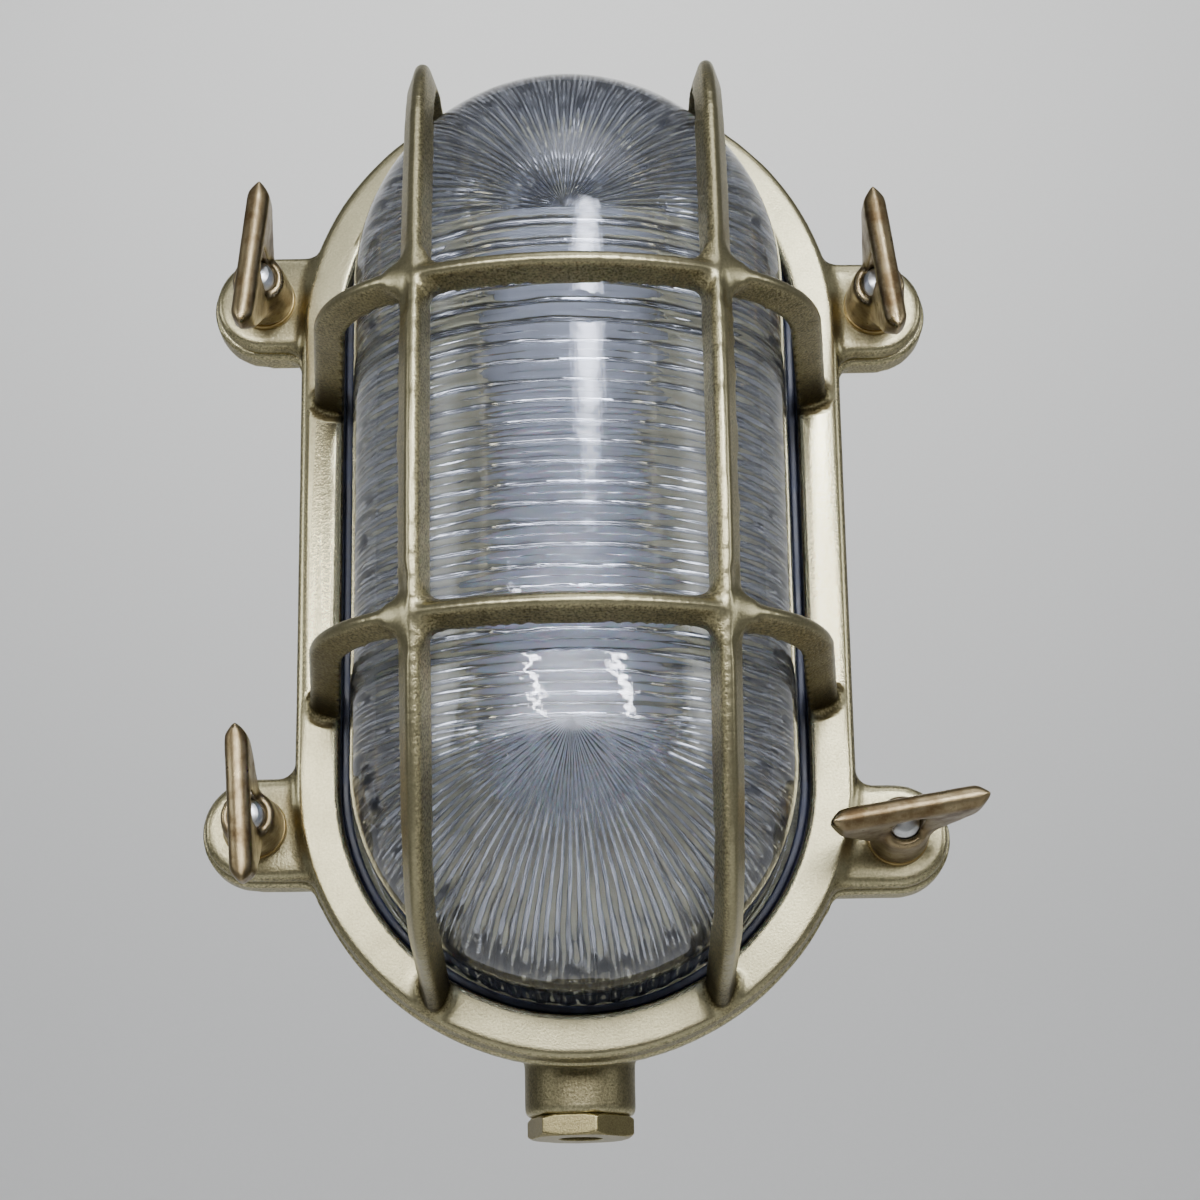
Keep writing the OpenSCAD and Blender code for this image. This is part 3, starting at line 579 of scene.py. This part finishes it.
def moulded_neoprene(name, colour, bloom):
    """Black neoprene from a mould: blue-black with a soft sheen and a dusty bloom."""
    skin = Skin(name, Specular_IOR_Level=0.6)
    cloud = skin.noise(7 * MM, 5, 0.65)
    dusty = skin.span(cloud, 0.42, 0.7, 0, 0.8)
    return skin.finish(skin.blend(dusty, colour, bloom), skin.span(cloud, 0.3, 0.7, 0.34, 0.52),
                       skin.bump(skin.noise(0.6 * MM), 0.3, 0.06 * MM))


def glazed_porcelain(name, white, speck):
    """Porcelain under a clear glaze: warm white with tiny specks and a wet shine."""
    skin = Skin(name, Roughness=0.3, Coat_Weight=0.7, Coat_Roughness=0.06)
    dots = add(skin.tree, "ShaderNodeTexVoronoi", None,
               {"Vector": skin.place, "Scale": 1 / (2.2 * MM)}).outputs["Distance"]
    return skin.finish(skin.blend(skin.span(dots, 0.12, 0.05, 0, 0.5), white, speck), None,
                       skin.bump(skin.noise(8 * MM, 3), 0.15, 0.1 * MM))


def opal_glass(name, white, shadow):
    """Blown opal glass: milk white that lets light through a little, with a smooth shine."""
    skin = Skin(name, Roughness=0.16, Subsurface_Weight=0.35, Subsurface_Scale=4 * MM, Coat_Weight=0.4,
                Coat_Roughness=0.05)
    cloud = skin.noise(20 * MM, 3)
    return skin.finish(skin.blend(skin.span(cloud, 0.3, 0.8, 0, 0.5), white, shadow), None,
                       skin.bump(cloud, 0.1, 0.1 * MM))


def studio_paper(name, colour):
    """Seamless studio paper: matt and pale, with a faint tooth."""
    skin = Skin(name, Roughness=0.9, Specular_IOR_Level=0.2)
    return skin.finish(skin.blend(skin.noise(1 / 220, 3), colour, toned(colour, 0.97)), None, None)


# Sizes and colours that a user may change

def size_of(name, text, size, **more):
    """A length in metres."""
    return FloatProperty(name=name, description=text, default=size, unit="LENGTH", precision=5, **more)


def colour_of(name, text, code):
    """A colour, from its sRGB hex code."""
    return FloatVectorProperty(name=name, description=text, size=4, subtype="COLOR", default=linear(code))


def power_of(name, text, watts):
    """A light's power."""
    return FloatProperty(name=name, description=text, default=watts, subtype="POWER")


class WallLightCastings(bpy.types.PropertyGroup):
    """Finish of the two brass castings."""
    skin: size_of("Skin spacing", "Spacing of the castings' skin points", 0.6 * MM, min=0.4 * MM)
    grain: size_of("Sand grain", "Size of the sand grain in the skin", 0.6 * MM)
    fillets: IntProperty(name="Fillets", description="Rounds of filling in the castings' hollow corners",
                         default=24, min=0)
    unevenness: size_of("Unevenness", "How deep the skin sinks here and there", 0.16 * MM)
    face: colour_of("Linished face", "Colour of the ring's face", "#b8af88")
    cast: colour_of("Cast skin", "Colour of the brass as cast", "#b5aa7f")
    # Dark brown of the painted shade on undersides and inner sides, and of the hollows
    sunk: colour_of("Corners", "Colour in corners and undersides", "#372c12")


class WallLightFittings(bpy.types.PropertyGroup):
    """Sizes and colours of nuts, studs and gland."""
    nut_bright: colour_of("Rubbed bronze", "Colour of the wing nuts where handled", "#a08f6c")
    nut_brown: colour_of("Brown bronze", "Colour of the wing nuts' patina", "#5e4527")
    stud_pitch: size_of("Stud thread", "Pitch of the studs' thread", 1.25 * MM)
    gland_pitch: size_of("Gland thread", "Pitch of the gland nut's thread", 1.5 * MM)


class WallLightGlass(bpy.types.PropertyGroup):
    """The ribbed dome."""
    rib_pitch: size_of("Rib spacing", "Spacing of the cross ribs", 5 * MM)
    rib_depth: size_of("Rib depth", "How far the ribs stand inwards", 2 * MM)
    end_ribs: IntProperty(name="End ribs", description="Ribs in each half round end", default=27, min=8)
    wander: FloatProperty(name="Rib wander", description="How far a rib strays, as a share of its spacing",
                          default=0.1, min=0, max=0.5)
    wall: size_of("Glass wall", "Wall between the ribs", 4 * MM)
    tint: colour_of("Glass tint", "Tint of the glass", "#e8edfa")


class WallLightStudio(bpy.types.PropertyGroup):
    """Light and ground of the studio."""
    key: power_of("Key light", "Power of the small soft light above the camera", 8.5)
    sky: power_of("Sky light", "Power of the big soft light high above", 6)
    fill: power_of("Fill lights", "Power of the light from each side", 4)
    low: power_of("Low light", "Power of the wide light at the camera's height", 14)
    tubes: power_of("Tube lights", "Power of the two narrow lights that streak the glass", 2)
    backdrop: power_of("Backdrop light", "Power of the light on the backdrop", 40)
    air: FloatProperty(name="Room light", description="Strength of the light from all round", default=0.2)
    paper: colour_of("Paper", "Colour of the floor and backdrop", "#e4e4e2")


# The two castings

def make_guard(look, brass):
    """The guard: its ring's face is linished, its cage's crowns are rubbed, and the rest is as cast. Painted
    shade browns the undersides and the ring's inner side, and a painted highlight lightens the edges.
    """
    guard = cast_skin("guard_casting", "guard", look.skin, GUARD_SOFTENING, file_down=file_crossings)
    fill_corners(guard, look.fillets, ramp(-points_of(guard)[0][:, 1], LUG_FACE - 1 * MM, LUG_FACE))
    places, normals = points_of(guard)
    out = -places[:, 1]
    ring = ramp(-normals[:, 1], 0.55, 0.9) * ramp(out, LUG_FACE - 1.2 * MM, LUG_FACE - 0.4 * MM)
    ring *= 1 - 0.35 * ramp(LUG_FACE + 1 * MM - out, 0, 0.6 * MM)
    ring *= out < RING_FACE + 0.5 * MM
    # What faces away from the dome's spine is a bar's crown, and what faces it is a bar's underside
    spine = np.stack([np.zeros(len(places)), np.full(len(places), -DOME_START),
                      np.clip(places[:, 2], -ARC, ARC)], 1)
    away = places - spine
    away /= np.linalg.norm(away, axis=1)[:, None]
    facing = (away * normals).sum(1)
    cage = ramp(out, RING_FACE + 0.2 * MM, RING_FACE + 2 * MM)
    crown = cage * ramp(facing, 0.6, 0.97)
    # Painted shade: bar faces that look towards the dome are painted darker
    under = 0.55 * cage * ramp(-facing, 0.2, 0.9)
    stands = bulge(guard, 8)
    beside = np.hypot(places[:, 0], places[:, 2] - spine[:, 2])
    # Painted shade on the ring's inner side, between the ring and the glass
    wall = ramp(beside, RING_OPEN, RING_OPEN + 3 * MM) * ramp(RING_FACE - out, 0.8 * MM, 1.8 * MM)
    wall *= ramp(-normals[:, 1], 0.8, 0.4)
    # Painted shade: bar undersides, faces that look down and the ring's inner side are painted brown as if in
    # shade. The hollows are brown too, and the bars' feet grow browner towards the ring
    downward_shade = cage * ramp(-normals[:, 2], 0.25, 0.8)
    feet = cage * ramp(out, 84 * MM, 56 * MM)
    brown = np.max([under, 0.38 * downward_shade, feet, 0.3 * wall, ramp(-stands, 0.05 * MM, 0.4 * MM)], axis=0)
    faced = np.maximum(ring, 0.95 * crown * (1 - feet))
    # The edge mark lightens convex edges, as wear and as a painted highlight
    mark(guard, faced=faced, sunk=0.9 * brown * (1 - 0.6 * crown * (1 - feet)),
         edge=ramp(stands, 0.06 * MM, 0.3 * MM) * (0.8 - 0.5 * cage))
    uneven(guard, 7 * MM, look.unevenness, 1 - 0.8 * faced)
    coat(guard.data, brass)
    dress(guard, 60, "housing", "cast_brass", "guard")


def make_housing(look, brass):
    """The back housing: its joint face is machined and its inside is painted lighter, as painted light let in
    through the glass. The rest is as cast, with a painted highlight on its edges.
    """
    housing = cast_skin("housing_casting", "back_housing", 1.25 * look.skin, HOUSING_SOFTENING)
    fill_corners(housing, look.fillets // 2, ramp(-points_of(housing)[0][:, 1], 30 * MM, 28 * MM))
    places, normals = points_of(housing)
    out = -places[:, 1]
    stands = bulge(housing, 6)
    joint = ramp(-normals[:, 1], 0.85, 0.98) * (abs(out - JOINT_FACE) < 0.5 * MM)
    # Painted light: the inside is painted lighter, smoother and less grainy, as if lit through the glass
    inside = (abs(places[:, 0]) < FLANGE_R) * ramp(JOINT_FACE - 8 * MM - out, 0, 2 * MM)
    inside = inside * ramp(-normals[:, 1], -0.2, 0.4)
    boss = ramp(-places[:, 2], 126 * MM, 130 * MM)
    flank = boss * ramp(np.hypot(normals[:, 0], normals[:, 1]), 0.6, 0.9)
    mark(housing, faced=np.max([0.8 * joint, 0.4 * boss, 0.5 * inside], axis=0),
         sunk=np.max([0.8 * ramp(-stands, 0.06 * MM, 0.4 * MM), 0.6 * flank, 0.1 * inside], axis=0),
         edge=np.maximum(0.8 * ramp(stands, 0.06 * MM, 0.3 * MM), 0.2 * inside))
    uneven(housing, 9 * MM, look.unevenness, 1 - 0.9 * np.maximum(joint, boss))
    coat(housing.data, brass)
    dress(housing, 60, "housing", "cast_brass", "back_housing")


# Operators, one for each piece or group of like pieces

class WALLLIGHT_OT_castings(bpy.types.Operator):
    """Make the guard and the back housing as sand castings"""
    bl_idname = "walllight.castings"
    bl_label = "Castings"

    def execute(self, context):
        look = context.scene.wall_light_castings
        brass = sand_cast_brass("Sand cast brass linished", tuple(look.face), tuple(look.cast),
                                tuple(look.sunk), look.grain)
        make_guard(look, brass)
        make_housing(look, brass)
        return {"FINISHED"}


class WALLLIGHT_OT_wing_nuts(bpy.types.Operator):
    """Make the four wing nuts as small bronze castings"""
    bl_idname = "walllight.wing_nuts"
    bl_label = "Wing nuts"

    def execute(self, context):
        look = context.scene.wall_light_fittings
        bronze = cast_bronze("Cast bronze browned", tuple(look.nut_bright), tuple(look.nut_brown))
        for corner in CORNERS:
            node = "wing_nut_" + corner
            nut = cast_skin(node + "_casting", node, NUT_SKIN, NUT_SOFTENING, NUT_TRIANGLES)
            stands = bulge(nut, 8)
            # Hollows turn darker, and convex edges lighter, as wear and as a painted highlight
            mark(nut, sunk=0.9 * ramp(-stands, 0.03 * MM, 0.25 * MM),
                 edge=0.8 * ramp(stands, 0.02 * MM, 0.1 * MM))
            uneven(nut, 5 * MM, 0.1 * MM, 1)
            coat(nut.data, bronze)
            dress(nut, 60, node, "bronze", node)
        return {"FINISHED"}


class WALLLIGHT_OT_studs(bpy.types.Operator):
    """Make the four threaded studs and their washers"""
    bl_idname = "walllight.studs"
    bl_label = "Studs and washers"

    def execute(self, context):
        look = context.scene.wall_light_fittings
        zinc = turned_metal("Zinc plated steel rolled", linear("#f2f2ee"), linear("#c4c5c1"), 0.24, 0.5 * MM)
        brass = turned_metal("Brass washer turned", linear("#b8a06a"), linear("#6d5528"), 0.26, 0.3 * MM)
        tree = thread_tree()
        joined = bmesh.new()
        for corner in CORNERS:
            low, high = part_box("stud_" + corner)
            radius, length, bevel = (high.x - low.x) / 2, high.y - low.y, 1 * MM
            rings = int(length / look.stud_pitch * 8)
            heights = [length * i / rings for i in range(rings + 1)]
            side = [(min(radius, radius - bevel + length - z), z) for z in heights]
            mesh = turned("stud", [(0, 0)] + side + [(0, length)], 32, closed=False)
            stud = put_in_scene("stud", mesh, zinc)
            run_tree(stud, tree, Radius=radius, Pitch=look.stud_pitch, Depth=0.68 * MM,
                     Start=2 * MM, End=length + MM, Material=zinc)
            place = out_from_wall((low.x + high.x) / 2, -high.y, (low.z + high.z) / 2)
            stud.data.transform(place)
            joined.from_mesh(stud.data)
            bpy.data.objects.remove(stud)
        mesh = bpy.data.meshes.new("studs_threaded")
        joined.to_mesh(mesh)
        joined.free()
        studs = put_in_scene("studs_threaded", mesh, zinc)
        dress(studs, 50, "housing", "zinc_steel", *["stud_" + c for c in CORNERS])

        for corner in CORNERS:
            node = "washer_" + corner
            turned_ring(node, node + "_turned", WASHER_BORE, 0.2 * MM, brass, node, "turned_brass",
                        rim=0.5 * MM, on_wall=True)
        return {"FINISHED"}


class WALLLIGHT_OT_glass(bpy.types.Operator):
    """Make the glass dome with its flange and ribs"""
    bl_idname = "walllight.glass"
    bl_label = "Ribbed glass"

    def execute(self, context):
        look = context.scene.wall_light_glass
        glass = pressed_glass("Pressed soda-lime glass", tuple(look.tint), 0.03)
        inner = GLASS_R - look.wall
        base = JOINT_FACE - 5.5 * MM
        flange = FLANGE_R + ARC - GLASS_ARC
        rib_start = JOINT_FACE - 4 * MM
        bow = np.linspace(math.pi / 2, 0, 25)
        # Inner wall from the crown down, with its rows closer where the ribs fade in
        section = [(inner * math.cos(a), DOME_START + inner * math.sin(a)) for a in bow]
        heights = (66, 60, 54, 49, 45, 42, 39.6, 39, 38.4, 37.8, 37.2, 36.6)
        section += [(inner, h * MM) for h in heights]
        # Flange with its edges rounded, then the outer wall back up to the crown
        section += [
            (inner, base + 0.4 * MM), (inner + 0.4 * MM, base),
            (flange - 0.8 * MM, base), (flange - 0.2 * MM, base + 0.2 * MM),
            (flange, base + 0.8 * MM), (flange, JOINT_FACE - 0.8 * MM),
            (flange - 0.2 * MM, JOINT_FACE - 0.2 * MM), (flange - 0.8 * MM, JOINT_FACE),
            (GLASS_R + 0.9 * MM, JOINT_FACE), (GLASS_R + 0.2 * MM, JOINT_FACE + 0.3 * MM),
            (GLASS_R, JOINT_FACE + 1 * MM), (GLASS_R, 50 * MM), (GLASS_R, 60 * MM)]
        section += [(GLASS_R * math.cos(a), DOME_START + GLASS_R * math.sin(a)) for a in bow[::-1]]
        rows = 8
        last = int(GLASS_ARC / look.rib_pitch * rows)
        sides = [look.rib_pitch * k / rows for k in range(last, -last - 1, -1)]
        mesh = swept_oval("glass_dome_pressed", section, look.end_ribs * rows, sides, False, GLASS_ARC)
        dome = put_in_scene("glass_dome_pressed", mesh, glass)
        places, _ = points_of(dome)
        x, out, y = places[:, 0], -places[:, 1], places[:, 2]
        beyond = y - np.clip(y, -GLASS_ARC, GLASS_ARC)
        across = np.hypot(x, beyond)
        above = np.maximum(out - DOME_START, 0)
        distance = np.hypot(across, above)
        in_end = abs(y) > GLASS_ARC - SAME_POINT
        # Ribs run level along the sides and fan out at the ends. They stray a little, as pressed ones do
        turn = np.where(in_end, np.arctan2(abs(beyond), x) / math.pi * look.end_ribs - 0.5,
                        y / look.rib_pitch)
        fade = ramp(out, rib_start, rib_start + 2 * MM) * (abs(distance - inner) < 0.3 * MM)
        fade = fade * np.where(in_end, ramp(across, 1 * MM, 8 * MM), 1)
        stray = noise_at(places / (9 * MM))
        turn += look.wander * stray * np.where(in_end, ramp(across, 8 * MM, 30 * MM), 1)
        fade *= 0.85 + 0.4 * noise_at(places / (6 * MM) + 40)
        way = -np.stack([x, -above, beyond], 1) / np.maximum(distance, SAME_POINT)[:, None]
        mark(dome, rib_turn=turn, rib_fade=fade)
        layer = dome.data.attributes.new("rib_way", "FLOAT_VECTOR", "POINT")
        layer.data.foreach_set("vector", way.astype(np.float32).ravel())
        run_tree(dome, rib_tree(), Depth=look.rib_depth, Share=0.52, Softness=0.11, Material=glass)
        for name in ("rib_turn", "rib_fade", "rib_way"):
            dome.data.attributes.remove(dome.data.attributes[name])
        dress(dome, 70, "housing", "clear_glass", "glass_dome")
        return {"FINISHED"}


class WALLLIGHT_OT_gaskets(bpy.types.Operator):
    """Make the front gasket with its lip, and finish the rear one"""
    bl_idname = "walllight.gaskets"
    bl_label = "Gaskets"

    def execute(self, context):
        rubber = moulded_neoprene("Neoprene moulded", linear("#1a1e2e"), linear("#3a4158"))
        gap, sheet, lip_below = 0.3 * MM, 1.6 * MM, 3.5 * MM
        lip_in, lip_out = GLASS_R + GLASS_ARC - ARC + gap, RING_OPEN - gap
        top = RING_FACE - lip_below
        outline = [(lip_in, JOINT_FACE), (FLANGE_R, JOINT_FACE), (FLANGE_R, JOINT_FACE + sheet),
                   (lip_out, JOINT_FACE + sheet), (lip_out, top - 0.3 * MM, 0.7 * MM),
                   (lip_in + 1.5 * MM, top, 0.6 * MM), (lip_in, top, 0.6 * MM)]
        section = rounded(outline, 0.25 * MM)
        mesh = swept_oval("gasket_lipped", section, ROUND_SIDES, [30 * MM, 0, -30 * MM], closed=True)
        gasket = put_in_scene("gasket_lipped", mesh, rubber)
        dress(gasket, 50, "housing", "neoprene", "front_gasket")
        coat(CAD["rear_gasket"].data, rubber)
        return {"FINISHED"}


class WALLLIGHT_OT_cable_gland(bpy.types.Operator):
    """Make the gland nut with its thread, the washer and the rubber seal"""
    bl_idname = "walllight.cable_gland"
    bl_label = "Cable gland"

    def execute(self, context):
        look = context.scene.wall_light_fittings
        brass = sand_cast_brass("Brass hexagon bar turned", linear("#b3a679"), linear("#96895c"),
                                linear("#54431f"), 0.4 * MM)
        nut = cast_skin("gland_nut_turned", "gland_nut", GLAND_SKIN, GLAND_SOFTENING, SMALL_TRIANGLES)
        low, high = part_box("gland_nut")
        shank, thread_r = 12 * MM, 10 * MM
        down = (Matrix.Translation(((low.x + high.x) / 2, (low.y + high.y) / 2, high.z))
                @ Matrix.Rotation(math.pi, 4, "X"))
        nut.data.transform(down.inverted())
        run_tree(nut, thread_tree(), Radius=thread_r, Pitch=look.gland_pitch, Depth=0.75 * MM,
                 Start=0.3 * MM, End=shank - 0.8 * MM, Material=brass)
        nut.data.transform(down)
        stands = bulge(nut, 4)
        on_shank = ramp(points_of(nut)[0][:, 2], high.z - shank - 0.2 * MM, high.z - shank)
        # Hollows turn darker, and convex edges lighter, as wear and as a painted highlight
        mark(nut, faced=0.6 * (1 - on_shank), sunk=0.6 * ramp(-stands, 0.05 * MM, 0.2 * MM),
             edge=ramp(stands, 0.04 * MM, 0.16 * MM))
        dress(nut, 50, "gland_nut", "turned_brass", "gland_nut")

        rings = turned_metal("Brass gland washer turned", linear("#b8a270"), linear("#6d5528"), 0.3, 0.3 * MM)
        turned_ring("gland_washer", "gland_washer_turned", GLAND_WASHER_BORE, 0.2 * MM, rings,
                    "gland_washer", "turned_brass")
        rubber = moulded_neoprene("Neoprene seal moulded", linear("#20222a"), linear("#3c3f48"))
        turned_ring("gland_seal", "gland_seal_moulded", SEAL_BORE, 0.6 * MM, rubber, "housing", "neoprene")
        return {"FINISHED"}


class WALLLIGHT_OT_lamp(bpy.types.Operator):
    """Make the opal lamp with its screw cap, and the porcelain holder"""
    bl_idname = "walllight.lamp"
    bl_label = "Lamp and holder"

    def execute(self, context):
        opal = opal_glass("Opal glass blown", linear("#f4f2ec"), linear("#dcdbd6"))
        metal = turned_metal("Aluminium cap rolled", linear("#c9c8c4"), linear("#8f8d88"), 0.28, 0.6 * MM)
        china = glazed_porcelain("Porcelain glazed", linear("#f3f1ea"), linear("#b9b3a4"))
        low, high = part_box("lamp_bulb")
        globe = (high.x - low.x) / 2
        middle = low.z + globe
        neck_r, neck = 14.5 * MM, 12 * MM
        lean = math.asin((globe - neck_r) / (neck - middle))
        outline = [(globe * math.cos(a), middle + globe * math.sin(a))
                   for a in np.linspace(-math.pi / 2, lean, 40)]
        outline[0] = (0, low.z)
        shoulder = np.array(outline[-1])
        for t in np.linspace(0.1, 1, 12):
            outline.append(tuple(shoulder + t * (np.array([neck_r, neck]) - shoulder)))
        outline += [(neck_r - 0.3 * MM, neck + 0.8 * MM), (13.1 * MM, neck + 2 * MM), (0, neck + 2 * MM)]
        upright = Matrix.Translation((0, -LAMP_OUT, 0))
        mesh = turned("lamp_globe", outline, 64, upright, closed=False)
        lamp = put_in_scene("lamp_globe_blown", mesh, opal)
        dress(lamp, 50, "housing", "opal_glass", "lamp_bulb")

        cap_foot, cap_top, radius = neck + 2 * MM, high.z, 13 * MM
        side = [(radius, z) for z in np.arange(cap_foot, cap_top - 4 * MM, 0.4 * MM)]
        outline = [(0, cap_foot)] + side + [(12.4 * MM, cap_top - 3.2 * MM), (8 * MM, cap_top - 0.8 * MM),
                                            (5 * MM, cap_top), (0, cap_top)]
        mesh = turned("lamp_cap", outline, 64, closed=False)
        cap = put_in_scene("lamp_cap_rolled", mesh, metal)
        run_tree(cap, thread_tree(), Radius=radius, Pitch=3.6 * MM, Depth=0.7 * MM,
                 Start=cap_foot + 4 * MM, End=cap_top - 4 * MM, Material=metal)
        cap.data.transform(upright)
        dress(cap, 50, "housing", "turned_brass", "lamp_bulb")

        holder = cast_skin("lampholder_glazed", "lampholder_body", HOLDER_SKIN, HOLDER_SOFTENING,
                           SMALL_TRIANGLES)
        coat(holder.data, china)
        dress(holder, 60, "housing", "porcelain", "lampholder_body")
        return {"FINISHED"}


class WALLLIGHT_OT_fixings(bpy.types.Operator):
    """Give the bracket, contacts and small screws their metals"""
    bl_idname = "walllight.fixings"
    bl_label = "Inner fixings"

    def execute(self, context):
        steel = plated_metal("Steel sheet zinc plated", linear("#b9b9b2"), linear("#8a8880"), 0.26, 0.5 * MM)
        brass = plated_metal("Brass sheet pressed", linear("#c9b06a"), linear("#8f7434"), 0.22, 0.4 * MM)
        finishes = {
            steel: ("holder_bracket", "bracket_screws", "holder_screws"),
            brass: ("lampholder_shell", "centre_contact", "terminal_screws", "earth_screw", "earth_washer"),
        }
        for metal, nodes in finishes.items():
            for node in nodes:
                coat(CAD[node].data, metal)
        return {"FINISHED"}


def set_sweep(look):
    """Floor and backdrop in one curve of paper."""
    bend, turn_y, floor_z, front, top, half_width = 1.2, 1.0, -1.0, -4, 3.2, 4
    profile = [(front, floor_z), (turn_y, floor_z)]
    profile += [(turn_y + bend * math.sin(a), floor_z + bend - bend * math.cos(a))
                for a in np.linspace(0.1, math.pi / 2, 16)]
    profile.append((turn_y + bend, top))
    points = [(x, y, z) for x in (-half_width, half_width) for y, z in profile]
    n = len(profile)
    mesh = bpy.data.meshes.new("studio_sweep")
    mesh.from_pydata(points, [], [(i, n + i, n + i + 1, i + 1) for i in range(n - 1)])
    sweep = put_in_scene("studio_sweep", mesh, studio_paper("Studio paper", tuple(look.paper)))
    mesh.shade_smooth()


def set_room(scene, look):
    """Faint light from all round."""
    world = bpy.data.worlds.new("Studio room")
    world.use_nodes = True
    air = world.node_tree.nodes["Background"]
    air.inputs["Color"].default_value = linear("#e9ecf0")
    air.inputs["Strength"].default_value = look.air
    scene.world = world


def set_light(scene, name, spot, size, power, colour, aim=MIDDLE, tilt=0):
    """A soft light at a spot, brightest in its middle and faded to its borders."""
    lamp = bpy.data.lights.new(name, "AREA")
    lamp.shape = "RECTANGLE"
    lamp.size, lamp.size_y = size
    lamp.energy = power
    lamp.color = linear(colour)[:3]
    lamp.use_nodes = True
    tree = lamp.node_tree
    spread = add(tree, "ShaderNodeVectorMath", {"operation": "SUBTRACT"},
                 {0: add(tree, "ShaderNodeTexCoord").outputs["UV"], 1: (0.5, 0.5, 0)})
    reach = add(tree, "ShaderNodeVectorMath", {"operation": "LENGTH"}, {0: spread.outputs[0]})
    faded_at, brightest = 0.55, 2.6
    fade = span(tree, reach.outputs["Value"], faded_at, 0, 0, brightest, interpolation_type="SMOOTHSTEP")
    tree.links.new(fade, tree.nodes["Emission"].inputs["Strength"])
    holder = bpy.data.objects.new(name, lamp)
    scene.collection.objects.link(holder)
    facing = (aim - Vector(spot)).to_track_quat("-Z", "Y").to_matrix().to_4x4()
    holder.matrix_world = Matrix.Translation(spot) @ facing @ Matrix.Rotation(tilt, 4, "Z")


def set_camera(scene):
    """The camera of the photograph."""
    ahead = (CAMERA_TARGET - CAMERA_EYE).normalized()
    right = ahead.cross(Vector((0, 0, 1))).normalized()
    upright = right.cross(ahead)
    across = right * math.cos(CAMERA_ROLL) + upright * math.sin(CAMERA_ROLL)
    above = across.cross(ahead)
    camera = bpy.data.cameras.new("Photo camera")
    camera.sensor_width = CAMERA_SENSOR
    camera.lens = CAMERA_LENS
    camera.clip_start = 0.05
    seen = bpy.data.objects.new("Photo camera", camera)
    seen.matrix_world = Matrix.Translation(CAMERA_EYE) @ Matrix((across, above, -ahead)).transposed().to_4x4()
    scene.collection.objects.link(seen)
    scene.camera = seen


class WALLLIGHT_OT_stage(bpy.types.Operator):
    """Set the paper sweep, the soft lights and the camera from below"""
    bl_idname = "walllight.stage"
    bl_label = "Studio and camera"

    def execute(self, context):
        scene = context.scene
        look = scene.wall_light_studio
        set_sweep(look)
        set_room(scene, look)
        # Name, spot and size in metres, power, colour, and what else the light needs
        lights = (
            ("Key softbox", (0.22, -1.3, 0.52), (0.4, 0.3), look.key, "#e8eeff"),
            ("Sky softbox", (0.1, -0.9, 1.3), (1.6, 1.0), look.sky, "#f1f4ff"),
            ("Fill softbox left", (-1.5, -0.7, 0.3), (0.7, 1.0), look.fill, "#f4f8ff"),
            ("Fill softbox right", (1.5, -0.7, 0.3), (0.7, 1.0), look.fill, "#f4f8ff"),
            ("Tube left", (-0.42, -1.2, 0.25), (0.5, 0.03), look.tubes, "#f4f6ff", MIDDLE, TUBE_TILT),
            ("Tube right", (0.52, -1.2, 0.25), (0.5, 0.03), look.tubes, "#f4f6ff", MIDDLE, TUBE_TILT),
            ("Low softbox", (-0.04, -1.4, 0.2), (2.6, 0.4), look.low, "#f4f6ff"),
            ("Backdrop light", (0, 0.8, 1.6), (2.4, 0.5), look.backdrop, "#ffffff", Vector((0, 2.2, 1.2))),
        )
        for light in lights:
            set_light(scene, *light)
        set_camera(scene)
        return {"FINISHED"}


OPERATORS = (
    WALLLIGHT_OT_castings, WALLLIGHT_OT_wing_nuts, WALLLIGHT_OT_studs, WALLLIGHT_OT_glass,
    WALLLIGHT_OT_gaskets, WALLLIGHT_OT_cable_gland, WALLLIGHT_OT_lamp, WALLLIGHT_OT_fixings,
    WALLLIGHT_OT_stage,
)


class WALLLIGHT_PT_sidebar(bpy.types.Panel):
    """Lists the steps that dress the wall light"""
    bl_idname = "WALLLIGHT_PT_sidebar"
    bl_label = "Wall Light"
    bl_space_type = "VIEW_3D"
    bl_region_type = "UI"
    bl_category = "Wall Light"

    def draw(self, context):
        for operator in OPERATORS:
            self.layout.operator(operator.bl_idname)


GROUPS = {
    "wall_light_castings": WallLightCastings,
    "wall_light_fittings": WallLightFittings,
    "wall_light_glass": WallLightGlass,
    "wall_light_studio": WallLightStudio,
}


def register():
    for kind in (*GROUPS.values(), *OPERATORS, WALLLIGHT_PT_sidebar):
        bpy.utils.register_class(kind)
    for name, group in GROUPS.items():
        setattr(bpy.types.Scene, name, PointerProperty(type=group))


def unregister():
    for name in GROUPS:
        delattr(bpy.types.Scene, name)
    for kind in (WALLLIGHT_PT_sidebar, *reversed(OPERATORS), *reversed(GROUPS.values())):
        bpy.utils.unregister_class(kind)


def main():
    """Make every piece and the studio."""
    register()
    steps = bpy.ops.walllight
    steps.castings()
    steps.wing_nuts()
    steps.studs()
    steps.glass()
    steps.gaskets()
    steps.cable_gland()
    steps.lamp()
    steps.fixings()
    steps.stage()


if __name__ == "__main__":
    main()
